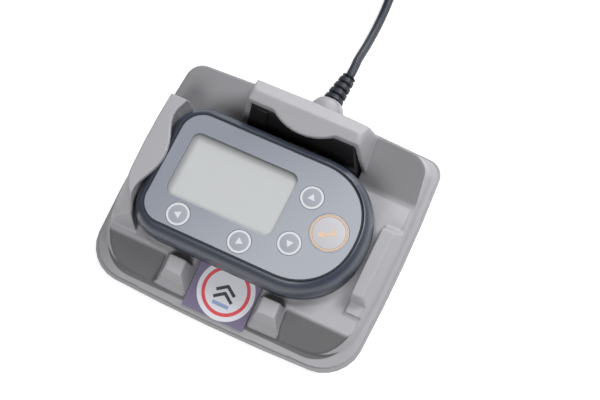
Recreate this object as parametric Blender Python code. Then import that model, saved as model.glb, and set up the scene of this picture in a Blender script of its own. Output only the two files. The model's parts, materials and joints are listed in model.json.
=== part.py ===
"""A body-worn heart recorder seated in its docking cradle, with the cradle's lead, as separate closed solids.

Lengths are metres, +Z up. The origin lies on the table under the middle of the cradle's foot, +X runs along
the recorder to its round end, and +Y to the cradle's hood.
"""
import math

import bmesh
import bpy
from mathutils import Vector

for old_object in list(bpy.data.objects):
    bpy.data.objects.remove(old_object, do_unlink=True)

# Fits
SEAT_GAP = 0.0003
RUNNING_GAP = 0.00015
OVERRUN = 0.0040
SIDES = 24
SMALL_SIDES = 12
SHARP_ANGLE = math.radians(35)

# Recorder, whose height is measured from the seat of the cradle
RECORDER_LENGTH = 0.0914
RECORDER_WIDTH = 0.0569
RECORDER_THICKNESS = 0.0190
SEAT_Z = 0.0107
RIM_WIDTH = 0.0041
SQUARE_END_RADIUS = 0.0095
SQUARE_END_STEPS = 7
# The round end is a half circle at a power of 2 and squarer above it
ROUND_END_POWER = 2.15
ROUND_END_STEPS = 24
CASE_WALL = 0.0018
CASE_FLOOR = 0.0022
FACE_PLATE = 0.0013
PARTING_HEIGHT = 0.0090
# Shares of the height above the parting line, and of the rim's width
FRONT_RIM_SHARES = ((0.0, 1.0), (0.2, 1.0), (0.42, 0.95), (0.62, 0.83), (0.78, 0.64), (0.9, 0.4), (1.0, 0.12))
# Shares of the height from the back face to the parting line, and of the rim's width
BACK_RIM_SHARES = ((0.0, 0.46), (0.07, 0.64), (0.22, 0.74), (0.55, 0.85), (1.0, 0.98))

# Face
OVERLAY_THICKNESS = 0.0005
GASKET_WIDTH = 0.00055
GASKET_DROP = 0.0001
WINDOW_LEFT_INSET = 0.0105
WINDOW_RIGHT_INSET = 0.0350
WINDOW_FRONT_INSET = 0.01665
WINDOW_REAR_INSET = 0.0126
WINDOW_RADIUS = 0.0035
LENS_THICKNESS = 0.00035
LENS_MARGIN = 0.00035
PANEL_THICKNESS = 0.0024
KEY_HEIGHT = 0.0033
KEY_FLANGE = 0.0005
KEY_FLANGE_HEIGHT = 0.0009
ARROW_KEY_RADIUS = 0.00475
ENTER_KEY_RADIUS = 0.0077
KEY_ROW_INSET = 0.0106
KEY_COLUMN_INSET = 0.0272
KEY_LEFT_INSET = 0.0200
KEY_MIDDLE_INSET = 0.0449
KEY_RIGHT_OFFSET = -0.01045
KEY_UPPER_OFFSET = 0.00965
KEY_ENTER_INSET = 0.0152
KEY_ENTER_OFFSET = -0.00045
DOME_RADIUS = 0.0030
DOME_HEIGHT = 0.0007
# Shares of the dome's height and of its radius
DOME_SHARES = ((0.0, 1.0), (0.6, 0.75), (1.0, 0.3))

# Inside the recorder
BOARD_THICKNESS = 0.0010
BOARD_DROP = 0.00015
BOARD_INSET = 0.0006
CHIP_LENGTH = 0.0090
CHIP_THICKNESS = 0.0014
CHIP_INSET = 0.0227
CELL_RADIUS = 0.00525
CELL_FRONT_INSET = 0.0062
CELL_NUB_RADIUS = 0.0019
CELL_NUB_LENGTH = 0.0010
CELL_BACK_INSET = 0.0062
SPRING_WIRE = 0.0005
SPRING_PITCH = 0.00095
SPRING_TURNS = 3
SPRING_RADIUS = 0.0030
SPRING_POINTS_A_TURN = 10
CONTACT_PLATE_WIDTH = 0.0080
CONTACT_PLATE_THICKNESS = 0.0005
DOOR_WIDTH = 0.0130
DOOR_PLATE = 0.0012
DOOR_RAIL = 0.0006
DOOR_RAIL_REACH = 0.0010
DOOR_SCREEN = 0.0009
CELL_BAY_WALL = 0.0012
CASE_SCREW_HEAD_RADIUS = 0.0019
CASE_SCREW_HEAD_HEIGHT = 0.0013
CASE_SCREW_HEAD_DEPTH = 0.0006
CASE_SCREW_RADIUS = 0.0010
CASE_SCREW_LENGTH = 0.0100
CASE_BOSS_RADIUS = 0.0024
CASE_SCREW_SQUARE_END_INSET = 0.0102
CASE_SCREW_SQUARE_SIDE_INSET = 0.0114
CASE_SCREW_ROUND_END_INSET = 0.0179
CASE_SCREW_ROUND_SIDE_INSET = 0.00855
SOCKET_WIDTH = 0.0100
SOCKET_HEIGHT = 0.0050
SOCKET_DEPTH = 0.0069
SOCKET_FACE_INSET = 0.0015
SOCKET_OFFSET = -0.00115
SOCKET_MID_HEIGHT = 0.0050
SOCKET_SLOT_WIDTH = 0.0080
SOCKET_SLOT_HEIGHT = 0.0018
SOCKET_SLOT_DEPTH = 0.0040
SOCKET_BLADE_THICKNESS = 0.0008
PAD_SIZE = 0.0034
PAD_THICKNESS = 0.0007
PAD_RECESS = 0.00005
CONTACT_HEIGHT = 0.0050
CONTACT_PITCH = 0.0050
CONTACT_MIDDLE_X = 0.0020
CONTACT_COUNT = 4

# Cradle, whose foot sets the outer size
FOOT_LEFT_ROOM = 0.01505
FOOT_RIGHT_ROOM = 0.01305
FOOT_FRONT_ROOM = 0.01945
FOOT_REAR_ROOM = 0.0255
FOOT_BOW = 0.0019
FOOT_FRONT_CORNER = 0.0140
FOOT_REAR_CORNER = 0.0060
FOOT_CORNER_STEPS = 6
FOOT_SIDE_SHARES = (0.25, 0.5, 0.75)
FOOT_PAD_HEIGHT = 0.0010
BASE_THICKNESS = 0.0019
BASE_EDGE = 0.0003
FLOOR_Z = 0.0110
WING_TOP_RISE = 0.0030
CREST_RISE = 0.0050
CRADLE_WALL = 0.0024
SIDE_FLARE = 0.00975
FRONT_FLARE = 0.0120
REAR_FLARE = 0.00925
# Shares of the height from the shell's foot to the wing's top, then of the side, front and rear flares
SKIRT_SHARES = (
    (0.0, 0.03, 0.03, 0.03),
    (0.027, 0.17, 0.22, 0.17),
    (0.06, 0.31, 0.44, 0.29),
    (0.16, 0.36, 0.58, 0.37),
    (0.262, 0.41, 0.74, 0.43),
    (0.463, 0.52, 1.0, 0.6),
    (0.564, 0.69, 1.15, 0.68),
    (0.8, 0.86, 1.55, 0.82),
    (1.0, 1.0, 1.9, 0.95),
    (1.12, 1.05, 2.0, 1.0),
)
RAMP_FOOT_ROOM = 0.0141
RAMP_FOOT_Z = 0.0050
RAMP_HEAD_ROOM = 0.0004
DECK_LINE_INSET = 0.0013
DECK_RISE_SHARE = 0.372

# Left wing with the hook over the recorder's rim
WING_INNER_INSET = 0.0002
WING_FRONT_TOP_INSET = 0.0044
WING_LEDGE_INSET = 0.0039
WING_LEDGE_DROP = 0.0010
WING_FRONT_FOOT_INSET = 0.0011
WING_REAR_TOP_INSET = 0.00335
WING_REAR_FOOT_INSET = 0.0011
WING_END_REACH = 0.0022
WING_END_SHARE = 0.12
HOOK_REACH = 0.0047
HOOK_OFFSET = 0.00065
HOOK_END_INSET = 0.01285
HOOK_POWER = 1.5
WING_STEPS = 18
HOOK_CLEARANCE = 0.0004
POCKET_GAP = 0.0006

# Right rib
RIB_TOP_Z = 0.0200
RIB_INNER_ROOM = 0.0009
RIB_STEP_Z = 0.0131
RIB_FRONT_FOOT_INSET = 0.0064
RIB_FRONT_STEP_INSET = 0.0108
RIB_FRONT_TOP_INSET = 0.0122
RIB_REAR_FOOT_INSET = 0.0112
RIB_REAR_TOP_INSET = 0.0156
RIB_STEP_HEIGHT = 0.0002
RIB_REAR_STEP_SHARE = 0.33

# Front posts and the channel between them
POST_TOP_Z = 0.0170
POST_REAR_FOOT_ROOM = 0.0011
POST_REAR_TOP_ROOM = 0.0019
POST_TOP_SLOPE_SHARE = 0.276
POST_LEFT_FOOT_X = -0.0290
POST_LEFT_TOP_X = -0.0236
POST_RIGHT_FOOT_X = 0.0280
POST_RIGHT_TOP_X = 0.0244
CHANNEL_LEFT_X = -0.0135
CHANNEL_RIGHT_X = 0.0140
CHANNEL_WALL_LEAN_SHARE = 0.35
CHANNEL_REAR_INSET = 0.0083
CHANNEL_REAR_Z = 0.0103
CHANNEL_SLOPE_SHARE = 0.231
CHANNEL_CUT_TOP_Z = 0.0200
LABEL_THICKNESS = 0.0004
LABEL_GAP = 0.0002
LABEL_MARGIN = 0.0003
LABEL_FRONT_ROOM = 0.0165

# Hood and what it holds
HOOD_LEFT_FOOT_X = -0.0262
HOOD_RIGHT_FOOT_X = 0.0328
HOOD_LEFT_TOP_X = -0.0212
HOOD_RIGHT_TOP_X = 0.0278
HOOD_SHOULDER = 0.0030
HOOD_SHOULDER_SHARES = (0.5, 1.0)
HOOD_FRONT_FOOT_ROOM = 0.0042
HOOD_FRONT_TOP_ROOM = 0.0068
HOOD_FRONT_DROP = 0.0009
HOOD_CREST_ROOM = 0.0109
HOOD_CREST_HALF = 0.0004
HOOD_BACK_ROOM = 0.0169
HOOD_BACK_DROP = 0.0036
HOOD_SKIRT_ROOM = 0.0214
HOOD_SKIRT_DROP = 0.0080
VISOR_MIDDLE_X = 0.0040
VISOR_HALF_LENGTH = 0.0135
VISOR_DEPTH = 0.0046
VISOR_STEPS = 12
VISOR_ROOT = 0.0020
CAVITY_FLOOR_Z = 0.0104
CAVITY_ROOF_DROP = 0.0040
CAVITY_LEFT_FOOT_X = -0.0210
CAVITY_RIGHT_FOOT_X = 0.0295
CAVITY_LEFT_TOP_X = -0.0190
CAVITY_RIGHT_TOP_X = 0.0256
CAVITY_FRONT_INSET = 0.0021
HOLLOW_FRONT_INSET = 0.0108
HOLLOW_HOOD_ROOM = 0.0084
HOLLOW_ROOF_DROP = 0.0035
BLOCK_REAR_ROOM = 0.0095
BLOCK_FOOT_ROOM = 0.0020
BLOCK_KNEE_ROOM = 0.0023
BLOCK_KNEE_Z = 0.0200
BLOCK_TOP_ROOM = 0.0064
BLOCK_STEP_X = -0.0115
BLOCK_STEP = 0.0010
PIN_RADIUS = 0.0009
PIN_TIP_RADIUS = 0.0005
PIN_TIP_LENGTH = 0.0004
PIN_LENGTH = 0.0088
PIN_GAP = 0.0005
DOCK_BOARD_THICKNESS = 0.0016
DOCK_BOARD_MARGIN = 0.0010
DOCK_BOARD_DROP = 0.0060
DOCK_CHIP_SIZE = 0.0060
DOCK_CHIP_X = 0.0190
DOCK_CHIP_Z = 0.0210
DOCK_CHIP_THICKNESS = 0.0012
HEADER_WIDTH = 0.0110
HEADER_HEIGHT = 0.0070
HEADER_DEPTH = 0.0027

# Feet and screws of the base
FOOT_PAD_RADIUS = 0.0050
FOOT_PAD_SINK = 0.0005
FOOT_PAD_SIDE_INSET = 0.00975
FOOT_PAD_END_INSET = 0.0115
BASE_SCREW_FRONT_SIDE_INSET = 0.02175
BASE_SCREW_FRONT_INSET = 0.0033
BASE_SCREW_REAR_SIDE_INSET = 0.01575
BASE_SCREW_REAR_ROOM = 0.0074
BASE_SCREW_RADIUS = 0.0011
BASE_SCREW_HEAD_RADIUS = 0.0022
BASE_SCREW_HEAD_HEIGHT = 0.0009
BASE_SCREW_HEAD_DEPTH = 0.0001
BASE_SCREW_LENGTH = 0.0058
BASE_BOSS_RADIUS = 0.0032
BASE_BOSS_TOP_Z = 0.0130

# Lead outlet
OUTLET_X = 0.0058
OUTLET_Z = 0.0136
OUTLET_END_ROOM = 0.0266
OUTLET_BOSS_RADIUS = 0.0076
# Shares of the boss's length and of its radius
OUTLET_SHARES = ((0.0, 1.0), (0.4, 0.99), (0.62, 0.92), (0.8, 0.8), (0.93, 0.68), (1.0, 0.56))
RELIEF_X = 0.00475
RELIEF_PLAY = 0.0006
RELIEF_LEAN_SHARE = 0.122
RELIEF_DROP_SHARE = 0.022
RELIEF_NECK_RADIUS = 0.0026
RELIEF_FLANGE_RADIUS = 0.0036
RELIEF_FLANGE_LENGTH = 0.0015
RELIEF_RADIUS = 0.00425
RELIEF_TIP_RADIUS = 0.00305
RELIEF_LENGTH = 0.0125
RELIEF_GROOVES = 3
RELIEF_GROOVE_DEPTH = 0.0011
RELIEF_GROOVE_SHARES = ((0.3, 0.0), (0.42, 1.0), (0.72, 1.0), (0.84, 0.0))

# Lead: the stretch's points are measured from the outlet's end on the table, the tail's from the coil
CORD_DIAMETER = 0.0038
CORD_STEP = 0.0080
CORD_DENSE_STEPS = 24
CORD_ROUTE = (
    (0.0014, 0.0218, 0.0117),
    (0.0012, 0.0318, 0.0076),
    (0.0007, 0.0418, 0.0040),
    (0.0002, 0.0508, 0.0023),
    (-0.0004, 0.0588, 0.00195),
    (-0.0004, 0.0678, 0.0022),
)
CORD_CLEARANCE = 0.0005
COIL_SIDE_ROOM = 0.0272
COIL_ROOM = 0.0838
COIL_OUTER_RADIUS = 0.0269
COIL_LAYERS = 4
COIL_TURNS_A_LAYER = 2.5
COIL_POINTS_A_TURN = 24
COIL_CLIMB_TURNS = 0.5
TAIL_ROOM = 0.0046
TAIL_LIFT = 0.0018
TAIL_TURN_SHARE = 0.47
TAIL_OUT_SHARE = 0.3
TAIL_STEPS = 13
TAIL_POINTS = (
    (-0.0321, -0.0060, 0.0042),
    (-0.0330, -0.0130, 0.0041),
)
TIE_THICKNESS = 0.0008
TIE_WIDTH = 0.0060
TIE_ROOM = 0.0005
TIE_CORNER = 0.0030
TIE_CORNER_STEPS = 4
PLUG_LEAN_SHARE = -0.17
PLUG_LENGTH = 0.0200
PLUG_WIDTH = 0.0160
PLUG_HEIGHT = 0.0080
PLUG_RADIUS = 0.0022
PLUG_NOSE_SHARE = 0.5
PLUG_NOSE_HEIGHT_SHARE = 0.75
PLUG_NOSE_LENGTH_SHARE = 0.2
PLUG_SHELL_WIDTH = 0.0120
PLUG_SHELL_HEIGHT = 0.0045
PLUG_SHELL_LENGTH = 0.0185
PLUG_SHELL_WALL = 0.0004
PLUG_SOCKET_DEPTH = 0.0030
PLUG_TONGUE_HEIGHT = 0.0017
PLUG_TONGUE_SHORTER = 0.0020

# Heights that follow from the sizes above
RECORDER_BACK_Z = SEAT_Z + SEAT_GAP
FACE_Z = RECORDER_BACK_Z + RECORDER_THICKNESS
CREST_Z = FACE_Z + CREST_RISE
WING_TOP_Z = FACE_Z + WING_TOP_RISE
WING_LEDGE_Z = FACE_Z - WING_LEDGE_DROP
HOOD_FRONT_TOP_Z = CREST_Z - HOOD_FRONT_DROP
HOOD_BACK_Z = CREST_Z - HOOD_BACK_DROP
HOOD_SKIRT_Z = CREST_Z - HOOD_SKIRT_DROP
CAVITY_ROOF_Z = CREST_Z - CAVITY_ROOF_DROP
HOLLOW_ROOF_Z = CREST_Z - HOLLOW_ROOF_DROP
DOCK_BOARD_TOP_Z = CREST_Z - DOCK_BOARD_DROP
PARTING_Z = RECORDER_BACK_Z + PARTING_HEIGHT
OVERLAY_SEAT_Z = FACE_Z - OVERLAY_THICKNESS - SEAT_GAP
FACE_PLATE_Z = OVERLAY_SEAT_Z - FACE_PLATE
CASE_FLOOR_Z = RECORDER_BACK_Z + CASE_FLOOR
CELL_Z = CASE_FLOOR_Z + SEAT_GAP + CELL_RADIUS
BOARD_Z = CELL_Z + CELL_RADIUS + SEAT_GAP + BOARD_DROP
BOARD_TOP_Z = BOARD_Z + BOARD_THICKNESS
KEY_FOOT_Z = FACE_Z - KEY_HEIGHT
CONTACT_Z = RECORDER_BACK_Z + CONTACT_HEIGHT
SHELL_Z = FOOT_PAD_HEIGHT + BASE_THICKNESS + SEAT_GAP
HOOK_Z = FACE_Z + HOOK_CLEARANCE
COIL_PITCH = CORD_DIAMETER + CORD_CLEARANCE
COIL_LOW_Z = TIE_THICKNESS + SEAT_GAP + CORD_DIAMETER / 2

# Outer size and the recorder's four sides, in the frame whose origin is the middle of the foot
FOOT_LENGTH = RECORDER_LENGTH + FOOT_LEFT_ROOM + FOOT_RIGHT_ROOM
FOOT_WIDTH = RECORDER_WIDTH + FOOT_FRONT_ROOM + FOOT_REAR_ROOM
RECORDER_X = (FOOT_LEFT_ROOM - FOOT_RIGHT_ROOM) / 2
RECORDER_Y = (FOOT_FRONT_ROOM - FOOT_REAR_ROOM) / 2
LEFT_X = RECORDER_X - RECORDER_LENGTH / 2
RIGHT_X = RECORDER_X + RECORDER_LENGTH / 2
FRONT_Y = RECORDER_Y - RECORDER_WIDTH / 2
REAR_Y = RECORDER_Y + RECORDER_WIDTH / 2
FAR_X = FOOT_LENGTH / 2 + OVERRUN
FAR_Y = FOOT_WIDTH / 2 + OVERRUN

# Places that follow from the four sides
CELL_BACK_Y = REAR_Y - CELL_BACK_INSET
DECK_LINE_Y = REAR_Y - DECK_LINE_INSET
WING_REAR_TOP_Y = REAR_Y - WING_REAR_TOP_INSET
WING_REAR_FOOT_Y = REAR_Y - WING_REAR_FOOT_INSET
RIB_REAR_FOOT_Y = REAR_Y - RIB_REAR_FOOT_INSET
RIB_REAR_TOP_Y = REAR_Y - RIB_REAR_TOP_INSET
HOOD_FRONT_FOOT_Y = REAR_Y + HOOD_FRONT_FOOT_ROOM
HOOD_FRONT_TOP_Y = REAR_Y + HOOD_FRONT_TOP_ROOM
HOOD_CREST_Y = REAR_Y + HOOD_CREST_ROOM
HOOD_BACK_Y = REAR_Y + HOOD_BACK_ROOM
HOOD_SKIRT_Y = REAR_Y + HOOD_SKIRT_ROOM
CAVITY_FRONT_Y = REAR_Y - CAVITY_FRONT_INSET
HOLLOW_HOOD_Y = REAR_Y + HOLLOW_HOOD_ROOM
BLOCK_REAR_Y = REAR_Y + BLOCK_REAR_ROOM
BLOCK_FOOT_Y = REAR_Y + BLOCK_FOOT_ROOM
BLOCK_KNEE_Y = REAR_Y + BLOCK_KNEE_ROOM
BLOCK_TOP_Y = REAR_Y + BLOCK_TOP_ROOM
DOCK_BOARD_REAR_Y = BLOCK_REAR_Y + SEAT_GAP + DOCK_BOARD_THICKNESS
HEADER_REAR_Y = DOCK_BOARD_REAR_Y + RUNNING_GAP + HEADER_DEPTH
FLANGE_REACH = RELIEF_FLANGE_LENGTH + RELIEF_FLANGE_RADIUS * RELIEF_LEAN_SHARE
OUTLET_BOSS_Y = HEADER_REAR_Y + FLANGE_REACH + 2 * RELIEF_PLAY
OUTLET_END_Y = REAR_Y + OUTLET_END_ROOM
BASE_SCREW_REAR_Y = REAR_Y + BASE_SCREW_REAR_ROOM
KEY_ROW_Y = FRONT_Y + KEY_ROW_INSET
RAMP_FOOT_Y = FRONT_Y - RAMP_FOOT_ROOM
RAMP_HEAD_Y = FRONT_Y - RAMP_HEAD_ROOM
WING_FRONT_TOP_Y = FRONT_Y + WING_FRONT_TOP_INSET
WING_LEDGE_Y = FRONT_Y + WING_LEDGE_INSET
WING_FRONT_FOOT_Y = FRONT_Y + WING_FRONT_FOOT_INSET
RIB_FRONT_FOOT_Y = FRONT_Y + RIB_FRONT_FOOT_INSET
RIB_FRONT_STEP_Y = FRONT_Y + RIB_FRONT_STEP_INSET
RIB_FRONT_TOP_Y = FRONT_Y + RIB_FRONT_TOP_INSET
POST_REAR_FOOT_Y = FRONT_Y - POST_REAR_FOOT_ROOM
POST_REAR_TOP_Y = FRONT_Y - POST_REAR_TOP_ROOM
CHANNEL_REAR_Y = FRONT_Y + CHANNEL_REAR_INSET
LABEL_FRONT_Y = FRONT_Y - LABEL_FRONT_ROOM
HOLLOW_FRONT_Y = FRONT_Y + HOLLOW_FRONT_INSET
BASE_SCREW_FRONT_Y = FRONT_Y + BASE_SCREW_FRONT_INSET
WING_INNER_X = LEFT_X + WING_INNER_INSET
CASE_SCREW_SQUARE_X = LEFT_X + CASE_SCREW_SQUARE_END_INSET
KEY_LEFT_X = LEFT_X + KEY_LEFT_INSET
RIB_INNER_X = RIGHT_X + RIB_INNER_ROOM
SOCKET_FACE_X = RIGHT_X - SOCKET_FACE_INSET
CASE_SCREW_ROUND_X = RIGHT_X - CASE_SCREW_ROUND_END_INSET
KEY_ENTER_X = RIGHT_X - KEY_ENTER_INSET
KEY_COLUMN_X = RIGHT_X - KEY_COLUMN_INSET
KEY_MIDDLE_X = RIGHT_X - KEY_MIDDLE_INSET
CHIP_X = RIGHT_X - CHIP_INSET
KEY_RIGHT_Y = RECORDER_Y + KEY_RIGHT_OFFSET
KEY_UPPER_Y = RECORDER_Y + KEY_UPPER_OFFSET
KEY_ENTER_Y = RECORDER_Y + KEY_ENTER_OFFSET
SOCKET_Y = RECORDER_Y + SOCKET_OFFSET
HOOK_MIDDLE_Y = RECORDER_Y + HOOK_OFFSET
HOOK_HALF_LENGTH = RECORDER_WIDTH / 2 - HOOK_END_INSET
CASE_SCREW_SQUARE_Y = RECORDER_WIDTH / 2 - CASE_SCREW_SQUARE_SIDE_INSET
CASE_SCREW_ROUND_Y = RECORDER_WIDTH / 2 - CASE_SCREW_ROUND_SIDE_INSET
CELL_LENGTH = RECORDER_WIDTH - CELL_BACK_INSET - CELL_FRONT_INSET
FOOT_PAD_X = FOOT_LENGTH / 2 - FOOT_PAD_SIDE_INSET
FOOT_PAD_Y = FOOT_WIDTH / 2 - FOOT_PAD_END_INSET
BASE_SCREW_FRONT_X = FOOT_LENGTH / 2 - BASE_SCREW_FRONT_SIDE_INSET
BASE_SCREW_REAR_X = FOOT_LENGTH / 2 - BASE_SCREW_REAR_SIDE_INSET
COIL_X = OUTLET_X - COIL_SIDE_ROOM
COIL_Y = OUTLET_END_Y + COIL_ROOM
WINDOW_LENGTH = RECORDER_LENGTH - WINDOW_LEFT_INSET - WINDOW_RIGHT_INSET
WINDOW_WIDTH = RECORDER_WIDTH - WINDOW_FRONT_INSET - WINDOW_REAR_INSET
WINDOW_X = LEFT_X + WINDOW_LEFT_INSET + WINDOW_LENGTH / 2
WINDOW_Y = FRONT_Y + WINDOW_FRONT_INSET + WINDOW_WIDTH / 2

KEYS = (
    ("left", KEY_LEFT_X, KEY_ROW_Y, ARROW_KEY_RADIUS),
    ("middle", KEY_MIDDLE_X, KEY_ROW_Y, ARROW_KEY_RADIUS),
    ("right", KEY_COLUMN_X, KEY_RIGHT_Y, ARROW_KEY_RADIUS),
    ("upper", KEY_COLUMN_X, KEY_UPPER_Y, ARROW_KEY_RADIUS),
    ("enter", KEY_ENTER_X, KEY_ENTER_Y, ENTER_KEY_RADIUS),
)


def material(name, color, roughness, metallic=0.0):
    """A Principled material with one colour."""
    made = bpy.data.materials.new(name)
    made.use_nodes = True
    shader = made.node_tree.nodes["Principled BSDF"]
    shader.inputs["Base Color"].default_value = (*color, 1.0)
    shader.inputs["Roughness"].default_value = roughness
    shader.inputs["Metallic"].default_value = metallic
    return made


CASE_BLUE = material("case_blue_plastic", (0.075, 0.095, 0.14), 0.35)
OVERLAY_GREY = material("overlay_grey", (0.33, 0.37, 0.43), 0.4)
KEY_GREY = material("key_grey", (0.38, 0.41, 0.46), 0.45)
DARK_RUBBER = material("dark_rubber", (0.02, 0.022, 0.028), 0.7)
CLEAR_LENS = material("display_lens", (0.55, 0.57, 0.56), 0.12)
PANEL_GREEN = material("display_panel", (0.42, 0.46, 0.42), 0.4)
BOARD_GREEN = material("circuit_board", (0.02, 0.16, 0.08), 0.45)
CHIP_BLACK = material("chip_black", (0.015, 0.015, 0.017), 0.5)
STEEL = material("bright_steel", (0.6, 0.6, 0.62), 0.25, 1.0)
GOLD = material("gold_contact", (0.85, 0.62, 0.25), 0.25, 1.0)
CELL_SILVER = material("cell_jacket", (0.35, 0.36, 0.38), 0.3, 0.7)
CRADLE_GREY = material("cradle_grey_plastic", (0.38, 0.38, 0.41), 0.5)
BASE_GREY = material("base_grey_plastic", (0.3, 0.3, 0.33), 0.55)
LABEL_GREY = material("label_grey", (0.2, 0.17, 0.28), 0.4)
CORD_BLACK = material("cord_black", (0.01, 0.012, 0.018), 0.5)


def closed_mesh(name, rings, ring_of_rings):
    """A mesh over rings of equal counts, capped at both ends unless the rings run in a circle."""
    shape = bmesh.new()
    rows = [[shape.verts.new(point) for point in ring] for ring in rings]
    pairs = list(zip(rows, rows[1:]))
    if ring_of_rings:
        pairs.append((rows[-1], rows[0]))
    for lower, upper in pairs:
        for index in range(len(lower)):
            after = (index + 1) % len(lower)
            shape.faces.new((lower[index], lower[after], upper[after], upper[index]))
    if not ring_of_rings:
        shape.faces.new(reversed(rows[0]))
        shape.faces.new(rows[-1])
    bmesh.ops.recalc_face_normals(shape, faces=shape.faces)
    mesh = bpy.data.meshes.new(name)
    shape.to_mesh(mesh)
    shape.free()
    return mesh


def add_object(name, data, finish=None, pivot=None, parent=None):
    """Link an object whose data is in world coordinates, its origin at the pivot, under its parent."""
    added = bpy.data.objects.new(name, data)
    bpy.context.scene.collection.objects.link(added)
    place = Vector(pivot) if pivot else Vector((0.0, 0.0, 0.0))
    if pivot:
        for vertex in data.vertices:
            vertex.co -= place
    if parent:
        added.parent = parent
        place = place - parent.location
    added.location = place
    if finish:
        data.materials.append(finish)
    return added


def loft(name, rings, finish=None, pivot=None, parent=None, ring_of_rings=False):
    """A closed solid over rings, shaded smooth with its sharp edges kept."""
    mesh = closed_mesh(name, rings, ring_of_rings)
    mesh.shade_smooth()
    mesh.set_sharp_from_angle(angle=SHARP_ANGLE)
    return add_object(name, mesh, finish, pivot, parent)


def at_height(outline, height):
    """Lift an outline of plan points to one height."""
    return [Vector((x, y, height)) for x, y in outline]


def rounded_outline(x_low, x_high, y_low, y_high, radius, steps=4, high_radius=None):
    """A rectangle with round corners, counter-clockwise; the corners at high Y may have their own radius."""
    high = radius if high_radius is None else high_radius
    corners = (
        (x_high - radius, y_low + radius, radius, -90),
        (x_high - high, y_high - high, high, 0),
        (x_low + high, y_high - high, high, 90),
        (x_low + radius, y_low + radius, radius, 180),
    )
    points = []
    for x, y, reach, start in corners:
        for step in range(steps + 1):
            angle = math.radians(start + 90 * step / steps)
            points.append((x + reach * math.cos(angle), y + reach * math.sin(angle)))
    return points


def box(name, low, high, finish=None, pivot=None, parent=None):
    """A plain block between two corners."""
    outline = [(low[0], low[1]), (high[0], low[1]), (high[0], high[1]), (low[0], high[1])]
    return loft(name, [at_height(outline, low[2]), at_height(outline, high[2])], finish, pivot, parent)


def turned(name, start, direction, profile, sides=SIDES, finish=None, pivot=None, parent=None):
    """A solid of revolution from pairs of distance along the direction and radius."""
    along = Vector(direction).normalized()
    side = along.orthogonal().normalized()
    across = along.cross(side)
    rings = []
    for distance, radius in profile:
        middle = Vector(start) + along * distance
        ring = []
        for index in range(sides):
            angle = math.tau * index / sides
            ring.append(middle + (side * math.cos(angle) + across * math.sin(angle)) * radius)
        rings.append(ring)
    return loft(name, rings, finish, pivot, parent)


def upright(name, x, y, radius, low, high, sides=SIDES, finish=None, pivot=None, parent=None):
    """A cylinder that stands along Z."""
    profile = ((0.0, radius), (high - low, radius))
    return turned(name, (x, y, low), (0, 0, 1), profile, sides, finish, pivot, parent)


def combine(target, tool, operation="DIFFERENCE"):
    """Cut, join or keep the common part, and keep the tool out of the picture."""
    change = target.modifiers.new(tool.name, "BOOLEAN")
    change.operation = operation
    change.solver = "EXACT"
    change.object = tool
    tool.hide_render = True
    tool.display_type = "WIRE"


def recorder_outline(offset):
    """The recorder's plan outline, offset outwards from the face seam: square left, round right."""
    half_length = RECORDER_LENGTH / 2 - RIM_WIDTH + offset
    half_width = RECORDER_WIDTH / 2 - RIM_WIDTH + offset
    corner = SQUARE_END_RADIUS + offset
    points = []
    for step in range(ROUND_END_STEPS + 1):
        angle = math.pi * (step / ROUND_END_STEPS - 0.5)
        across, along = math.cos(angle), math.sin(angle)
        reach = half_width * abs(across) ** (2 / ROUND_END_POWER)
        rise = half_width * abs(along) ** (2 / ROUND_END_POWER)
        x = RECORDER_X + half_length - half_width + reach
        points.append((x, RECORDER_Y + math.copysign(rise, along)))
    for side, start in ((1, 90), (-1, 180)):
        for step in range(SQUARE_END_STEPS + 1):
            angle = math.radians(start + 90 * step / SQUARE_END_STEPS)
            points.append((RECORDER_X - half_length + corner + corner * math.cos(angle),
                           RECORDER_Y + side * (half_width - corner) + corner * math.sin(angle)))
    return points


def recorder_ring(offset, height):
    """The recorder's outline at one height."""
    return at_height(recorder_outline(offset), height)


HOOK_EDGE_X = WING_INNER_X + HOOK_REACH
RECORDER_PIVOT = bpy.data.objects.new("recorder_pivot", None)
RECORDER_PIVOT.location = (HOOK_EDGE_X, RECORDER_Y, (FACE_Z + HOOK_Z) / 2)
bpy.context.scene.collection.objects.link(RECORDER_PIVOT)
RECORDER_ORIGIN = tuple(RECORDER_PIVOT.location)
CASE_SCREW_PLACES = (
    (CASE_SCREW_SQUARE_X, RECORDER_Y + CASE_SCREW_SQUARE_Y),
    (CASE_SCREW_SQUARE_X, RECORDER_Y - CASE_SCREW_SQUARE_Y),
    (CASE_SCREW_ROUND_X, RECORDER_Y + CASE_SCREW_ROUND_Y),
    (CASE_SCREW_ROUND_X, RECORDER_Y - CASE_SCREW_ROUND_Y),
)


def in_recorder(maker, name, *sizes, finish, **more):
    """Make a piece that moves with the recorder."""
    return maker(name, *sizes, finish=finish, pivot=RECORDER_ORIGIN, parent=RECORDER_PIVOT, **more)


def window_outline(margin):
    """The display window's outline, widened by a margin."""
    half_length = WINDOW_LENGTH / 2 + margin
    half_width = WINDOW_WIDTH / 2 + margin
    radius = WINDOW_RADIUS + margin
    return rounded_outline(
        WINDOW_X - half_length, WINDOW_X + half_length, WINDOW_Y - half_width, WINDOW_Y + half_width, radius
    )


def cut_keys(target, name, low, high):
    """Cut the five round key holes through a layer of the face."""
    for key, x, y, radius in KEYS:
        combine(target, upright(f"{name}_{key}_hole", x, y, radius + RUNNING_GAP, low, high))


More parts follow.
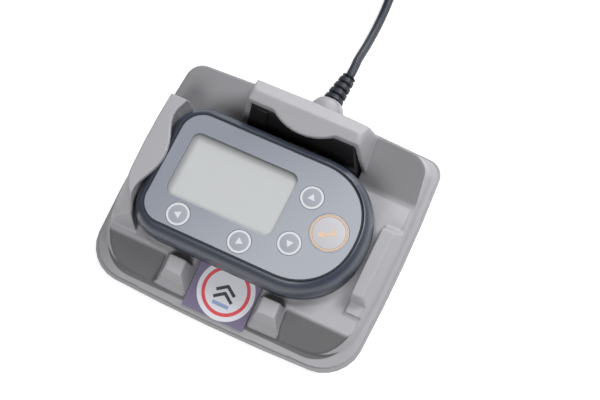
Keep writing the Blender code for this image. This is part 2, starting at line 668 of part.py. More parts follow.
def make_front_case():
    """The upper half of the case: round rim, face plate, screw bosses and the recess for the overlay."""
    start_z = PARTING_Z + SEAT_GAP
    rise = FACE_Z - start_z
    rings = [recorder_ring(RIM_WIDTH * rim, start_z + rise * up) for up, rim in FRONT_RIM_SHARES]
    case = in_recorder(loft, "recorder_front_case", rings, finish=CASE_BLUE)
    inner_rim = RIM_WIDTH - CASE_WALL
    inner = loft("front_case_hollow", [
        recorder_ring(inner_rim, PARTING_Z - OVERRUN),
        recorder_ring(inner_rim, BOARD_TOP_Z),
        recorder_ring(inner_rim - CASE_WALL, FACE_PLATE_Z),
    ])
    combine(case, inner)
    groove = loft("face_recess", [
        recorder_ring(RUNNING_GAP, OVERLAY_SEAT_Z),
        recorder_ring(RUNNING_GAP, FACE_Z + OVERRUN),
    ])
    combine(case, groove)
    lens_hole = window_outline(LENS_MARGIN + RUNNING_GAP)
    combine(case, loft("window_hole", [
        at_height(lens_hole, FACE_PLATE_Z - OVERRUN),
        at_height(lens_hole, FACE_Z),
    ]))
    cut_keys(case, "case", FACE_PLATE_Z - KEY_FLANGE_HEIGHT, FACE_Z)
    for index, (x, y) in enumerate(CASE_SCREW_PLACES):
        boss = upright(f"front_boss_{index}", x, y, CASE_BOSS_RADIUS, start_z, FACE_PLATE_Z + FACE_PLATE / 2)
        combine(case, boss, "UNION")
        top = RECORDER_BACK_Z + CASE_SCREW_HEAD_DEPTH + CASE_SCREW_HEAD_HEIGHT + CASE_SCREW_LENGTH + SEAT_GAP
        hole = upright(f"front_screw_hole_{index}", x, y, CASE_SCREW_RADIUS + SEAT_GAP,
                       start_z - OVERRUN, top, SMALL_SIDES)
        combine(case, hole)


def door_cut(name, half_width, low, high, back_y):
    """A slot for the battery door, open at the recorder's front side."""
    front_y = RECORDER_Y - RECORDER_WIDTH / 2 - OVERRUN
    return box(name, (-half_width, front_y, low), (half_width, back_y, high))


def make_back_case():
    """The lower half of the case: a tapered tray with the cell's bay, door slot, socket and recesses."""
    rise = PARTING_Z - RECORDER_BACK_Z
    rings = [recorder_ring(RIM_WIDTH * rim, RECORDER_BACK_Z + rise * up) for up, rim in BACK_RIM_SHARES]
    case = in_recorder(loft, "recorder_back_case", rings, finish=CASE_BLUE)
    inner_top = RIM_WIDTH - CASE_WALL
    inner_foot = BACK_RIM_SHARES[2][1] * RIM_WIDTH - CASE_WALL
    combine(case, loft("back_case_hollow", [
        recorder_ring(inner_foot, CASE_FLOOR_Z),
        recorder_ring(inner_top, PARTING_Z + OVERRUN),
    ]))
    bay_half = CELL_RADIUS + SEAT_GAP
    bay_front = CELL_BACK_Y - CELL_LENGTH - SEAT_GAP - CONTACT_PLATE_THICKNESS
    for side in (-1, 1):
        near = side * bay_half
        far = side * (bay_half + CELL_BAY_WALL)
        wall = box(f"bay_wall_{side}", (min(near, far), bay_front, CASE_FLOOR_Z - CASE_FLOOR / 2),
                   (max(near, far), CELL_BACK_Y, PARTING_Z - SEAT_GAP))
        combine(case, wall, "UNION")
    for index, (x, y) in enumerate(CASE_SCREW_PLACES):
        boss = upright(f"back_boss_{index}", x, y, CASE_BOSS_RADIUS + SEAT_GAP,
                       CASE_FLOOR_Z - CASE_FLOOR / 2, PARTING_Z - SEAT_GAP)
        combine(case, boss, "UNION")
        seat_z = RECORDER_BACK_Z + CASE_SCREW_HEAD_DEPTH + CASE_SCREW_HEAD_HEIGHT + SEAT_GAP
        wide = upright(f"back_screw_seat_{index}", x, y, CASE_SCREW_HEAD_RADIUS + SEAT_GAP,
                       RECORDER_BACK_Z - OVERRUN, seat_z, SMALL_SIDES)
        combine(case, wide)
        narrow = upright(f"back_screw_hole_{index}", x, y, CASE_SCREW_RADIUS + SEAT_GAP,
                         seat_z - SEAT_GAP, PARTING_Z + OVERRUN, SMALL_SIDES)
        combine(case, narrow)
    plate_top = RECORDER_BACK_Z + DOOR_PLATE
    rail_top = plate_top + DOOR_RAIL
    half = DOOR_WIDTH / 2
    back_y = CELL_BACK_Y + DOOR_SCREEN
    combine(case, door_cut("door_slot", half + RUNNING_GAP, RECORDER_BACK_Z - OVERRUN,
                           plate_top + RUNNING_GAP, back_y))
    combine(case, door_cut("door_rail_slot", half + DOOR_RAIL_REACH + RUNNING_GAP, plate_top - RUNNING_GAP,
                           rail_top + RUNNING_GAP, back_y - DOOR_RAIL_REACH))
    combine(case, box("cell_opening", (-bay_half, bay_front, rail_top),
                      (bay_half, CELL_BACK_Y, CASE_FLOOR_Z + SEAT_GAP)))
    add_socket_hole(case)
    add_pad_recesses(case)


def add_socket_hole(case):
    """The opening in the round end for the patient-lead socket."""
    middle_z = RECORDER_BACK_Z + SOCKET_MID_HEIGHT
    half_width = SOCKET_WIDTH / 2 + RUNNING_GAP
    half_height = SOCKET_HEIGHT / 2 + RUNNING_GAP
    hole = box("socket_hole",
               (SOCKET_FACE_X - SOCKET_DEPTH, SOCKET_Y - half_width, middle_z - half_height),
               (SOCKET_FACE_X + OVERRUN, SOCKET_Y + half_width, middle_z + half_height))
    combine(case, hole)


def contact_places():
    """The row of contact positions along X."""
    first = CONTACT_MIDDLE_X - CONTACT_PITCH * (CONTACT_COUNT - 1) / 2
    return [first + CONTACT_PITCH * index for index in range(CONTACT_COUNT)]


def rear_wall_y():
    """The recorder's rear wall at the height of the contacts, at the shallow edge of a pad."""
    low, high = BACK_RIM_SHARES[2], BACK_RIM_SHARES[3]
    share = ((CONTACT_HEIGHT - PAD_SIZE / 2) / PARTING_HEIGHT - low[0]) / (high[0] - low[0])
    rim = low[1] + (high[1] - low[1]) * share
    return RECORDER_Y + RECORDER_WIDTH / 2 - RIM_WIDTH + RIM_WIDTH * rim


def add_pad_recesses(case):
    """Four square recesses for the charging contacts in the long rear side."""
    half = PAD_SIZE / 2 + RUNNING_GAP
    back_y = rear_wall_y() - PAD_RECESS - PAD_THICKNESS - RUNNING_GAP
    for index, x in enumerate(contact_places()):
        recess = box(f"pad_recess_{index}", (x - half, back_y, CONTACT_Z - half),
                     (x + half, back_y + OVERRUN, CONTACT_Z + half))
        combine(case, recess)


def make_face():
    """The printed overlay, its gasket, the display lens and the panel under it."""
    overlay_z = FACE_Z - OVERLAY_THICKNESS
    inside = -GASKET_WIDTH - RUNNING_GAP
    overlay = in_recorder(loft, "face_overlay", [
        recorder_ring(inside, overlay_z), recorder_ring(inside, FACE_Z)], finish=OVERLAY_GREY)
    window = window_outline(0.0)
    combine(overlay, loft("overlay_window", [
        at_height(window, overlay_z - OVERRUN), at_height(window, FACE_Z + OVERRUN)]))
    cut_keys(overlay, "overlay", overlay_z - OVERRUN, FACE_Z + OVERRUN)
    low, high = overlay_z, FACE_Z - GASKET_DROP
    in_recorder(loft, "face_gasket", [
        recorder_ring(0.0, low), recorder_ring(0.0, high),
        recorder_ring(-GASKET_WIDTH, high), recorder_ring(-GASKET_WIDTH, low),
    ], finish=DARK_RUBBER, ring_of_rings=True)
    lens_top = overlay_z - SEAT_GAP
    lens_z = lens_top - LENS_THICKNESS
    lens = window_outline(LENS_MARGIN)
    in_recorder(loft, "display_lens", [at_height(lens, lens_z), at_height(lens, lens_top)], finish=CLEAR_LENS)
    panel_top = lens_z - SEAT_GAP
    panel = window_outline(LENS_MARGIN / 2)
    in_recorder(loft, "display_panel", [
        at_height(panel, panel_top - PANEL_THICKNESS), at_height(panel, panel_top)], finish=PANEL_GREEN)


def make_keys():
    """Five round keys that press straight down, each over a snap dome on the board."""
    flange_top = KEY_FOOT_Z + KEY_FLANGE_HEIGHT
    for key, x, y, radius in KEYS:
        wide = radius + KEY_FLANGE
        height = FACE_Z - KEY_FOOT_Z
        profile = (
            (0.0, wide), (flange_top - KEY_FOOT_Z, wide), (flange_top - KEY_FOOT_Z, radius),
            (height - RUNNING_GAP, radius), (height, radius - RUNNING_GAP),
        )
        turned(f"key_{key}", (x, y, KEY_FOOT_Z), (0, 0, 1), profile, finish=KEY_GREY,
               pivot=(x, y, FACE_Z), parent=RECORDER_PIVOT)
        base = BOARD_TOP_Z + RUNNING_GAP
        dome = [(DOME_HEIGHT * up, DOME_RADIUS * wide) for up, wide in DOME_SHARES]
        in_recorder(turned, f"dome_{key}", (x, y, base), (0, 0, 1), dome, SMALL_SIDES, finish=STEEL)


def make_board():
    """The main board between the cell and the display, notched round the screw bosses, with its processor."""
    board = in_recorder(loft, "main_board", [
        recorder_ring(-BOARD_INSET, BOARD_Z), recorder_ring(-BOARD_INSET, BOARD_TOP_Z)], finish=BOARD_GREEN)
    for index, (x, y) in enumerate(CASE_SCREW_PLACES):
        combine(board, upright(f"board_notch_{index}", x, y, CASE_BOSS_RADIUS + SEAT_GAP,
                               BOARD_Z - OVERRUN, BOARD_TOP_Z + OVERRUN))
    half = CHIP_LENGTH / 2
    chip_top = BOARD_Z - RUNNING_GAP
    in_recorder(box, "processor_chip", (CHIP_X - half, RECORDER_Y - half, chip_top - CHIP_THICKNESS),
                (CHIP_X + half, RECORDER_Y + half, chip_top), finish=CHIP_BLACK)


def helix_points(start, radius, turns, pitch, steps_a_turn):
    """Points along a helix that climbs along +Y."""
    points = []
    for step in range(turns * steps_a_turn + 1):
        turn = step / steps_a_turn
        angle = math.tau * turn
        offset = Vector((radius * math.cos(angle), pitch * turn, radius * math.sin(angle)))
        points.append(Vector(start) + offset)
    return points


def tube(name, points, diameter, resolution, finish, pivot=(0.0, 0.0, 0.0), parent=None):
    """A round tube with filled ends along points."""
    data = bpy.data.curves.new(name, "CURVE")
    data.dimensions = "3D"
    data.bevel_depth = diameter / 2
    data.bevel_resolution = resolution
    data.use_fill_caps = True
    spline = data.splines.new("POLY")
    spline.points.add(len(points) - 1)
    for slot, point in zip(spline.points, points):
        slot.co = (*(Vector(point) - Vector(pivot)), 1.0)
    data.materials.append(finish)
    added = bpy.data.objects.new(name, data)
    bpy.context.scene.collection.objects.link(added)
    added.location = Vector(pivot) - (parent.location if parent else Vector((0.0, 0.0, 0.0)))
    added.parent = parent
    return added


def make_cell():
    """One round cell across the recorder, between its spring and its plate contact, over the sliding door."""
    body = CELL_LENGTH - CELL_NUB_LENGTH
    edge = SEAT_GAP
    profile = (
        (0.0, CELL_RADIUS - edge), (edge, CELL_RADIUS), (body - edge, CELL_RADIUS),
        (body, CELL_RADIUS - edge), (body, CELL_NUB_RADIUS), (CELL_LENGTH, CELL_NUB_RADIUS),
    )
    in_recorder(turned, "battery_cell", (0, CELL_BACK_Y, CELL_Z), (0, -1, 0), profile, finish=CELL_SILVER)
    start = (0, CELL_BACK_Y + SEAT_GAP + SPRING_WIRE / 2, CELL_Z)
    spring = helix_points(start, SPRING_RADIUS, SPRING_TURNS, SPRING_PITCH, SPRING_POINTS_A_TURN)
    tube("battery_spring", spring, SPRING_WIRE, 1, STEEL, RECORDER_ORIGIN, RECORDER_PIVOT)
    half = CONTACT_PLATE_WIDTH / 2
    plate_y = CELL_BACK_Y - CELL_LENGTH - SEAT_GAP
    in_recorder(box, "battery_plate", (-half, plate_y - CONTACT_PLATE_THICKNESS, CELL_Z - half),
                (half, plate_y, CELL_Z + half), finish=STEEL)
    half = DOOR_WIDTH / 2
    low, middle = RECORDER_BACK_Z, RECORDER_BACK_Z + DOOR_PLATE
    top = middle + DOOR_RAIL
    wide = half + DOOR_RAIL_REACH
    section = [(-half, low), (half, low), (half, middle), (wide, middle), (wide, top), (-wide, top),
               (-wide, middle), (-half, middle)]
    front_y = RECORDER_Y - RECORDER_WIDTH / 2 + RIM_WIDTH * (1 - BACK_RIM_SHARES[0][1])
    back_y = CELL_BACK_Y + DOOR_SCREEN - DOOR_RAIL_REACH - RUNNING_GAP
    rings = [[Vector((x, y, z)) for x, z in section] for y in (front_y, back_y)]
    loft("battery_door", rings, CASE_BLUE, (0, (front_y + back_y) / 2, low), RECORDER_PIVOT)


def make_recorder_fittings():
    """Case screws, the patient-lead socket with its blade, and the charging pads."""
    for index, (x, y) in enumerate(CASE_SCREW_PLACES):
        head = CASE_SCREW_HEAD_HEIGHT
        profile = ((0.0, CASE_SCREW_HEAD_RADIUS), (head, CASE_SCREW_HEAD_RADIUS), (head, CASE_SCREW_RADIUS),
                   (head + CASE_SCREW_LENGTH, CASE_SCREW_RADIUS))
        in_recorder(turned, f"case_screw_{index + 1}", (x, y, RECORDER_BACK_Z + CASE_SCREW_HEAD_DEPTH),
                    (0, 0, 1), profile, SMALL_SIDES, finish=STEEL)
    middle_z = RECORDER_BACK_Z + SOCKET_MID_HEIGHT
    half_width, half_height = SOCKET_WIDTH / 2, SOCKET_HEIGHT / 2
    back_x = SOCKET_FACE_X - SOCKET_DEPTH + RUNNING_GAP
    socket = in_recorder(box, "lead_socket", (back_x, SOCKET_Y - half_width, middle_z - half_height),
                         (SOCKET_FACE_X, SOCKET_Y + half_width, middle_z + half_height), finish=CHIP_BLACK)
    slot_back = SOCKET_FACE_X - SOCKET_SLOT_DEPTH
    half_slot, half_slot_height = SOCKET_SLOT_WIDTH / 2, SOCKET_SLOT_HEIGHT / 2
    combine(socket, box("socket_slot", (slot_back, SOCKET_Y - half_slot, middle_z - half_slot_height),
                        (SOCKET_FACE_X + OVERRUN, SOCKET_Y + half_slot, middle_z + half_slot_height)))
    half_blade = half_slot - SEAT_GAP
    half_thick = SOCKET_BLADE_THICKNESS / 2
    in_recorder(box, "socket_blade", (slot_back + SEAT_GAP, SOCKET_Y - half_blade, middle_z - half_thick),
                (SOCKET_FACE_X - SEAT_GAP, SOCKET_Y + half_blade, middle_z + half_thick), finish=GOLD)
    face_y = rear_wall_y() - PAD_RECESS
    half = PAD_SIZE / 2
    for index, x in enumerate(contact_places()):
        in_recorder(box, f"contact_pad_{index + 1}", (x - half, face_y - PAD_THICKNESS, CONTACT_Z - half),
                    (x + half, face_y, CONTACT_Z + half), finish=GOLD)


def foot_ring(side_inset, front_inset, rear_inset, height):
    """The cradle's plan outline with bowed sides and round corners, drawn in by the insets."""
    x_half = FOOT_LENGTH / 2 - FOOT_BOW - side_inset
    y_low = -FOOT_WIDTH / 2 + FOOT_BOW + front_inset
    y_high = FOOT_WIDTH / 2 - FOOT_BOW - rear_inset
    y_middle, y_half = (y_low + y_high) / 2, (y_high - y_low) / 2
    ring = []
    outline = rounded_outline(-x_half, x_half, y_low, y_high, FOOT_FRONT_CORNER, FOOT_CORNER_STEPS,
                              FOOT_REAR_CORNER)
    for x, y in outline:
        across, along = x / x_half, (y - y_middle) / y_half
        bow_x = FOOT_BOW * across * (1 - along ** 2)
        bow_y = FOOT_BOW * along * (1 - across ** 2)
        ring.append(Vector((x + bow_x, y + bow_y, height)))
    return with_side_points(ring, x_half, y_middle, y_half)


def with_side_points(ring, x_half, y_middle, y_half):
    """Add points along the four bowed sides, between one corner's last point and the next one's first."""
    filled = []
    corner_count = len(ring) // 4
    for index, point in enumerate(ring):
        filled.append(point)
        if (index + 1) % corner_count:
            continue
        after = ring[(index + 1) % len(ring)]
        for share in FOOT_SIDE_SHARES:
            between = point.lerp(after, share)
            across = between.x / x_half
            along = (between.y - y_middle) / y_half
            if abs(after.x - point.x) < abs(after.y - point.y):
                between.x = math.copysign(x_half + FOOT_BOW * (1 - along ** 2), between.x)
            else:
                reach = y_half + FOOT_BOW * (1 - across ** 2)
                between.y = y_middle + math.copysign(reach, between.y - y_middle)
            filled.append(between)
    return filled


def skirt_rings(wall, low_z):
    """The flared outer body of the cradle, or its inner face when a wall is given."""
    rise = WING_TOP_Z - SHELL_Z
    rings = []
    for up, side, front, rear in SKIRT_SHARES:
        height = SHELL_Z + rise * up
        rings.append(foot_ring(SIDE_FLARE * side + wall, FRONT_FLARE * front + wall, REAR_FLARE * rear + wall,
                               height))
    if wall:
        rings[0] = [Vector((point.x, point.y, low_z)) for point in rings[1]]
    return rings


def along_x(name, section, x_low, x_high, finish=None):
    """A solid with one section of Y and Z along X."""
    return loft(name, [[Vector((x, y, z)) for y, z in section] for x in (x_low, x_high)], finish)


def deck_height(y):
    """The height of the rear decks behind the floor line."""
    return FLOOR_Z + (y - DECK_LINE_Y) * DECK_RISE_SHARE


def make_dock_shell():
    """The cradle's body: floor, decks and ramps, wing, rib, posts and hood, trimmed to the flared skirt."""
    section = [
        (-FAR_Y, SHELL_Z), (FAR_Y, SHELL_Z), (FAR_Y, deck_height(FAR_Y)), (DECK_LINE_Y, FLOOR_Z),
        (RAMP_HEAD_Y, FLOOR_Z), (RAMP_FOOT_Y, RAMP_FOOT_Z), (-FAR_Y, RAMP_FOOT_Z),
    ]
    shell = along_x("dock_shell", section, -FAR_X, FAR_X, CRADLE_GREY)
    for tool in (make_wing(), make_rib(), make_hood(), make_visor()):
        combine(shell, tool, "UNION")
    posts = (("left", POST_LEFT_FOOT_X, POST_LEFT_TOP_X, CHANNEL_LEFT_X),
             ("right", POST_RIGHT_FOOT_X, POST_RIGHT_TOP_X, CHANNEL_RIGHT_X))
    for side, foot_x, top_x, channel_x in posts:
        combine(shell, make_post(side, foot_x, top_x, channel_x), "UNION")
    combine(shell, loft("skirt", skirt_rings(0.0, SHELL_Z)), "INTERSECT")
    combine(shell, loft("recorder_pocket", [
        recorder_ring(RIM_WIDTH + POCKET_GAP, SEAT_Z), recorder_ring(RIM_WIDTH + POCKET_GAP, HOOK_Z)]))
    combine(shell, make_cavity())
    combine(shell, make_channel())
    combine(shell, make_hollow())
    boss_length = OUTLET_END_Y - OUTLET_BOSS_Y
    profile = [(boss_length * along, OUTLET_BOSS_RADIUS * wide) for along, wide in OUTLET_SHARES]
    combine(shell, turned("outlet_boss", (OUTLET_X, OUTLET_BOSS_Y, OUTLET_Z), (0, 1, 0), profile), "UNION")
    for index, (x, y) in enumerate(BASE_SCREW_PLACES):
        if y > 0:
            boss = upright(f"base_boss_{index}", x, y, BASE_BOSS_RADIUS, SHELL_Z, BASE_BOSS_TOP_Z)
            combine(shell, boss, "UNION")
        top = FOOT_PAD_HEIGHT + BASE_SCREW_HEAD_DEPTH + BASE_SCREW_HEAD_HEIGHT + BASE_SCREW_LENGTH + SEAT_GAP
        combine(shell, upright(f"shell_screw_hole_{index}", x, y, BASE_SCREW_RADIUS + SEAT_GAP,
                               SHELL_Z - OVERRUN, top, SMALL_SIDES))
    start, direction = relief_axis()
    reach = OUTLET_END_Y - OUTLET_BOSS_Y + OVERRUN
    bore = turned("outlet_bore", start, direction,
                  ((-OVERRUN, RELIEF_NECK_RADIUS + SEAT_GAP), (reach, RELIEF_NECK_RADIUS + SEAT_GAP)))
    combine(shell, bore)


BASE_SCREW_PLACES = (
    (-BASE_SCREW_FRONT_X, BASE_SCREW_FRONT_Y),
    (BASE_SCREW_FRONT_X, BASE_SCREW_FRONT_Y),
    (-BASE_SCREW_REAR_X, BASE_SCREW_REAR_Y),
    (BASE_SCREW_REAR_X, BASE_SCREW_REAR_Y),
)


def make_wing():
    """The tall left wing, whose bulged top edge hooks over the recorder's rim."""
    levels = (
        (CAVITY_FLOOR_Z, WING_FRONT_FOOT_Y, WING_REAR_FOOT_Y),
        (WING_LEDGE_Z, WING_LEDGE_Y, (WING_REAR_TOP_Y + WING_REAR_FOOT_Y) / 2),
        (WING_TOP_Z, WING_FRONT_TOP_Y, WING_REAR_TOP_Y),
    )
    rings = []
    for height, front_y, rear_y in levels:
        ring = [Vector((-FAR_X, rear_y, height)), Vector((-FAR_X, front_y, height))]
        for step in range(WING_STEPS + 1):
            share = step / WING_STEPS
            y = front_y + (rear_y - front_y) * share
            bulge = max(0.0, 1 - ((y - HOOK_MIDDLE_Y) / HOOK_HALF_LENGTH) ** 2) ** HOOK_POWER
            end = max(0.0, 1 - share / WING_END_SHARE, 1 - (1 - share) / WING_END_SHARE)
            ring.append(Vector((WING_INNER_X + HOOK_REACH * bulge + WING_END_REACH * end, y, height)))
        rings.append(ring)
    return loft("wing", rings)


def make_rib():
    """The low rib past the recorder's round end, with a stepped front and a sloped rear."""
    rear_step_y = RIB_REAR_FOOT_Y - (RIB_REAR_FOOT_Y - RIB_REAR_TOP_Y) * RIB_REAR_STEP_SHARE
    levels = (
        (CAVITY_FLOOR_Z, RIB_FRONT_FOOT_Y, RIB_REAR_FOOT_Y),
        (RIB_STEP_Z, RIB_FRONT_FOOT_Y, rear_step_y),
        (RIB_STEP_Z + RIB_STEP_HEIGHT, RIB_FRONT_STEP_Y, rear_step_y),
        (RIB_TOP_Z, RIB_FRONT_TOP_Y, RIB_REAR_TOP_Y),
    )
    return loft("rib", [
        at_height([(RIB_INNER_X, front), (FAR_X, front), (FAR_X, rear), (RIB_INNER_X, rear)], height)
        for height, front, rear in levels
    ])


def make_post(side, foot_x, top_x, channel_x):
    """One of the two posts in front of the recorder, a pyramid that the channel trims on its inner side."""
    inner_x = channel_x / 2
    fall = (FAR_Y + POST_REAR_TOP_Y) * POST_TOP_SLOPE_SHARE
    foot = [(foot_x, -FAR_Y), (inner_x, -FAR_Y), (inner_x, POST_REAR_FOOT_Y), (foot_x, POST_REAR_FOOT_Y)]
    top = [
        Vector((top_x, -FAR_Y, POST_TOP_Z - fall)), Vector((inner_x, -FAR_Y, POST_TOP_Z - fall)),
        Vector((inner_x, POST_REAR_TOP_Y, POST_TOP_Z)), Vector((top_x, POST_REAR_TOP_Y, POST_TOP_Z)),
    ]
    return loft(f"post_{side}", [at_height(foot, RAMP_FOOT_Z - SEAT_GAP), top])


def channel_height(y):
    """The height of the sloped channel floor."""
    return CHANNEL_REAR_Z + (y - CHANNEL_REAR_Y) * CHANNEL_SLOPE_SHARE


def make_channel():
    """The cut for the label channel, which runs down to the front between the posts."""
    rings = []
    for y in (CHANNEL_REAR_Y, -FAR_Y):
        floor = channel_height(y)
        lean = (CHANNEL_CUT_TOP_Z - floor) * CHANNEL_WALL_LEAN_SHARE
        section = ((CHANNEL_LEFT_X, floor), (CHANNEL_RIGHT_X, floor),
                   (CHANNEL_RIGHT_X + lean, CHANNEL_CUT_TOP_Z), (CHANNEL_LEFT_X - lean, CHANNEL_CUT_TOP_Z))
        rings.append([Vector((x, y, z)) for x, z in section])
    return loft("channel", rings)


def make_hood():
    """The hood over the contacts: a ridge that falls to the front lip and to the rear skirt."""
    section = [
        (HOOD_FRONT_FOOT_Y, CAVITY_FLOOR_Z), (HOOD_SKIRT_Y, CAVITY_FLOOR_Z), (FAR_Y, CAVITY_FLOOR_Z),
        (HOOD_SKIRT_Y, HOOD_SKIRT_Z), (HOOD_BACK_Y, HOOD_BACK_Z), (HOOD_CREST_Y + HOOD_CREST_HALF, CREST_Z),
        (HOOD_CREST_Y - HOOD_CREST_HALF, CREST_Z), (HOOD_FRONT_TOP_Y, HOOD_FRONT_TOP_Z),
    ]
    hood = along_x("hood", section, HOOD_LEFT_FOOT_X - OVERRUN, HOOD_RIGHT_FOOT_X + OVERRUN)
    shoulder_z = CREST_Z - HOOD_SHOULDER
    outline = [(HOOD_LEFT_FOOT_X, SHELL_Z), (HOOD_RIGHT_FOOT_X, SHELL_Z), (HOOD_RIGHT_TOP_X, shoulder_z)]
    for turn in HOOD_SHOULDER_SHARES:
        angle = turn * math.pi / 2
        outline.append((HOOD_RIGHT_TOP_X - HOOD_SHOULDER * (1 - math.cos(angle)),
                        shoulder_z + (HOOD_SHOULDER + SEAT_GAP) * math.sin(angle)))
    for turn in reversed(HOOD_SHOULDER_SHARES):
        angle = turn * math.pi / 2
        outline.append((HOOD_LEFT_TOP_X + HOOD_SHOULDER * (1 - math.cos(angle)),
                        shoulder_z + (HOOD_SHOULDER + SEAT_GAP) * math.sin(angle)))
    outline.append((HOOD_LEFT_TOP_X, shoulder_z))
    sides = loft("hood_sides", [[Vector((x, y, z)) for x, z in outline] for y in (0.0, FAR_Y + OVERRUN)])
    combine(hood, sides, "INTERSECT")
    return hood


def make_visor():
    """The bowed lip that the hood pushes out over the middle of the contact block."""
    radius = (VISOR_HALF_LENGTH ** 2 + VISOR_DEPTH ** 2) / (2 * VISOR_DEPTH)
    sweep = math.asin(VISOR_HALF_LENGTH / radius)
    middle_y = HOOD_FRONT_TOP_Y - VISOR_DEPTH + radius
    slope = (CREST_Z - HOOD_FRONT_TOP_Z) / (HOOD_CREST_Y - HOOD_FRONT_TOP_Y)
    plan = [(VISOR_MIDDLE_X + VISOR_HALF_LENGTH, HOOD_FRONT_TOP_Y + VISOR_ROOT),
            (VISOR_MIDDLE_X - VISOR_HALF_LENGTH, HOOD_FRONT_TOP_Y + VISOR_ROOT)]
    for step in range(VISOR_STEPS + 1):
        angle = -sweep + 2 * sweep * step / VISOR_STEPS
        plan.append((VISOR_MIDDLE_X + radius * math.sin(angle), middle_y - radius * math.cos(angle)))
    top = [Vector((x, y, CREST_Z - (HOOD_CREST_Y - y) * slope)) for x, y in plan]
    return loft("visor", [at_height(plan, CAVITY_ROOF_Z - OVERRUN), top])


def cavity_ring(y, margin, low_z, high_z):
    """The section of the hood's cavity in X and Z, drawn in by a margin."""
    ring = []
    for z, side in ((low_z, -1), (low_z, 1), (high_z, 1), (high_z, -1)):
        share = (z - CAVITY_FLOOR_Z) / (CAVITY_ROOF_Z - CAVITY_FLOOR_Z)
        foot = CAVITY_LEFT_FOOT_X if side < 0 else CAVITY_RIGHT_FOOT_X
        top = CAVITY_LEFT_TOP_X if side < 0 else CAVITY_RIGHT_TOP_X
        ring.append(Vector((foot + (top - foot) * share - side * margin, y, z)))
    return ring


def make_cavity():
    """The cut under the hood that opens to the recorder and holds the contact block."""
    return loft("cavity", [cavity_ring(y, 0.0, CAVITY_FLOOR_Z, CAVITY_ROOF_Z)
                           for y in (CAVITY_FRONT_Y, HOLLOW_HOOD_Y + OVERRUN)])


def make_hollow():
    """The hollow underside: a low chamber, and the space in the hood behind the contact block."""
    low_z = SHELL_Z - OVERRUN
    roof = FLOOR_Z - CRADLE_WALL
    rear_roof = deck_height(FAR_Y) - CRADLE_WALL
    section = [(HOLLOW_FRONT_Y, low_z), (FAR_Y, low_z), (FAR_Y, rear_roof), (DECK_LINE_Y, roof),
               (HOLLOW_FRONT_Y, roof)]
    hollow = along_x("hollow", section, -FAR_X, FAR_X)
    rings = [[Vector((CAVITY_LEFT_FOOT_X, y, low_z)), Vector((CAVITY_RIGHT_FOOT_X, y, low_z)),
              Vector((CAVITY_RIGHT_TOP_X, y, HOLLOW_ROOF_Z)), Vector((CAVITY_LEFT_TOP_X, y, HOLLOW_ROOF_Z))]
             for y in (HOLLOW_HOOD_Y, FAR_Y)]
    combine(hollow, loft("hood_hollow", rings), "UNION")
    combine(hollow, loft("inner_skirt", skirt_rings(CRADLE_WALL, low_z)), "INTERSECT")
    return hollow


def make_contact_block():
    """The black block under the hood, proud at its left end, with four bores for the sprung pins."""
    low_z, top_z = CAVITY_FLOOR_Z + SEAT_GAP, CAVITY_ROOF_Z - SEAT_GAP
    rings = []
    for z, front_y in ((low_z, BLOCK_FOOT_Y), (BLOCK_KNEE_Z, BLOCK_KNEE_Y), (top_z, BLOCK_TOP_Y)):
        left, right = [point.x for point in cavity_ring(0.0, SEAT_GAP, z, z)[:2]]
        plan = [(left, front_y - BLOCK_STEP), (BLOCK_STEP_X, front_y - BLOCK_STEP), (BLOCK_STEP_X, front_y),
                (right, front_y), (right, BLOCK_REAR_Y), (left, BLOCK_REAR_Y)]
        rings.append(at_height(plan, z))
    block = loft("contact_block", rings, CHIP_BLACK)
    tip_y = rear_wall_y() - PAD_RECESS + PIN_GAP
    for index, x in enumerate(contact_places()):
        bore = turned(f"pin_bore_{index}", (x, CAVITY_FRONT_Y, CONTACT_Z), (0, 1, 0),
                      ((0.0, PIN_RADIUS + RUNNING_GAP), (FAR_Y - CAVITY_FRONT_Y, PIN_RADIUS + RUNNING_GAP)),
                      SMALL_SIDES)
        combine(block, bore)
        profile = ((0.0, PIN_TIP_RADIUS), (PIN_TIP_LENGTH, PIN_RADIUS), (PIN_LENGTH, PIN_RADIUS))
        turned(f"contact_pin_{index + 1}", (x, tip_y, CONTACT_Z), (0, 1, 0), profile, SMALL_SIDES, GOLD,
               (x, tip_y, CONTACT_Z))


def make_dock_board():
    """The upright board behind the contact block, with its chip and the lead's header."""
    front_y = BLOCK_REAR_Y + SEAT_GAP
    rear_y = DOCK_BOARD_REAR_Y
    section = cavity_ring(0.0, DOCK_BOARD_MARGIN, DOCK_BOARD_TOP_Z, DOCK_BOARD_TOP_Z)
    left, right = section[0].x, section[1].x
    box("dock_board", (left, front_y, CAVITY_FLOOR_Z), (right, rear_y, DOCK_BOARD_TOP_Z), BOARD_GREEN)
    half = DOCK_CHIP_SIZE / 2
    box("dock_chip", (DOCK_CHIP_X - half, rear_y + RUNNING_GAP, DOCK_CHIP_Z - half),
        (DOCK_CHIP_X + half, rear_y + RUNNING_GAP + DOCK_CHIP_THICKNESS, DOCK_CHIP_Z + half), CHIP_BLACK)
    box("lead_header", (OUTLET_X - HEADER_WIDTH / 2, rear_y + RUNNING_GAP, OUTLET_Z - HEADER_HEIGHT / 2),
        (OUTLET_X + HEADER_WIDTH / 2, HEADER_REAR_Y, OUTLET_Z + HEADER_HEIGHT / 2), DARK_RUBBER)


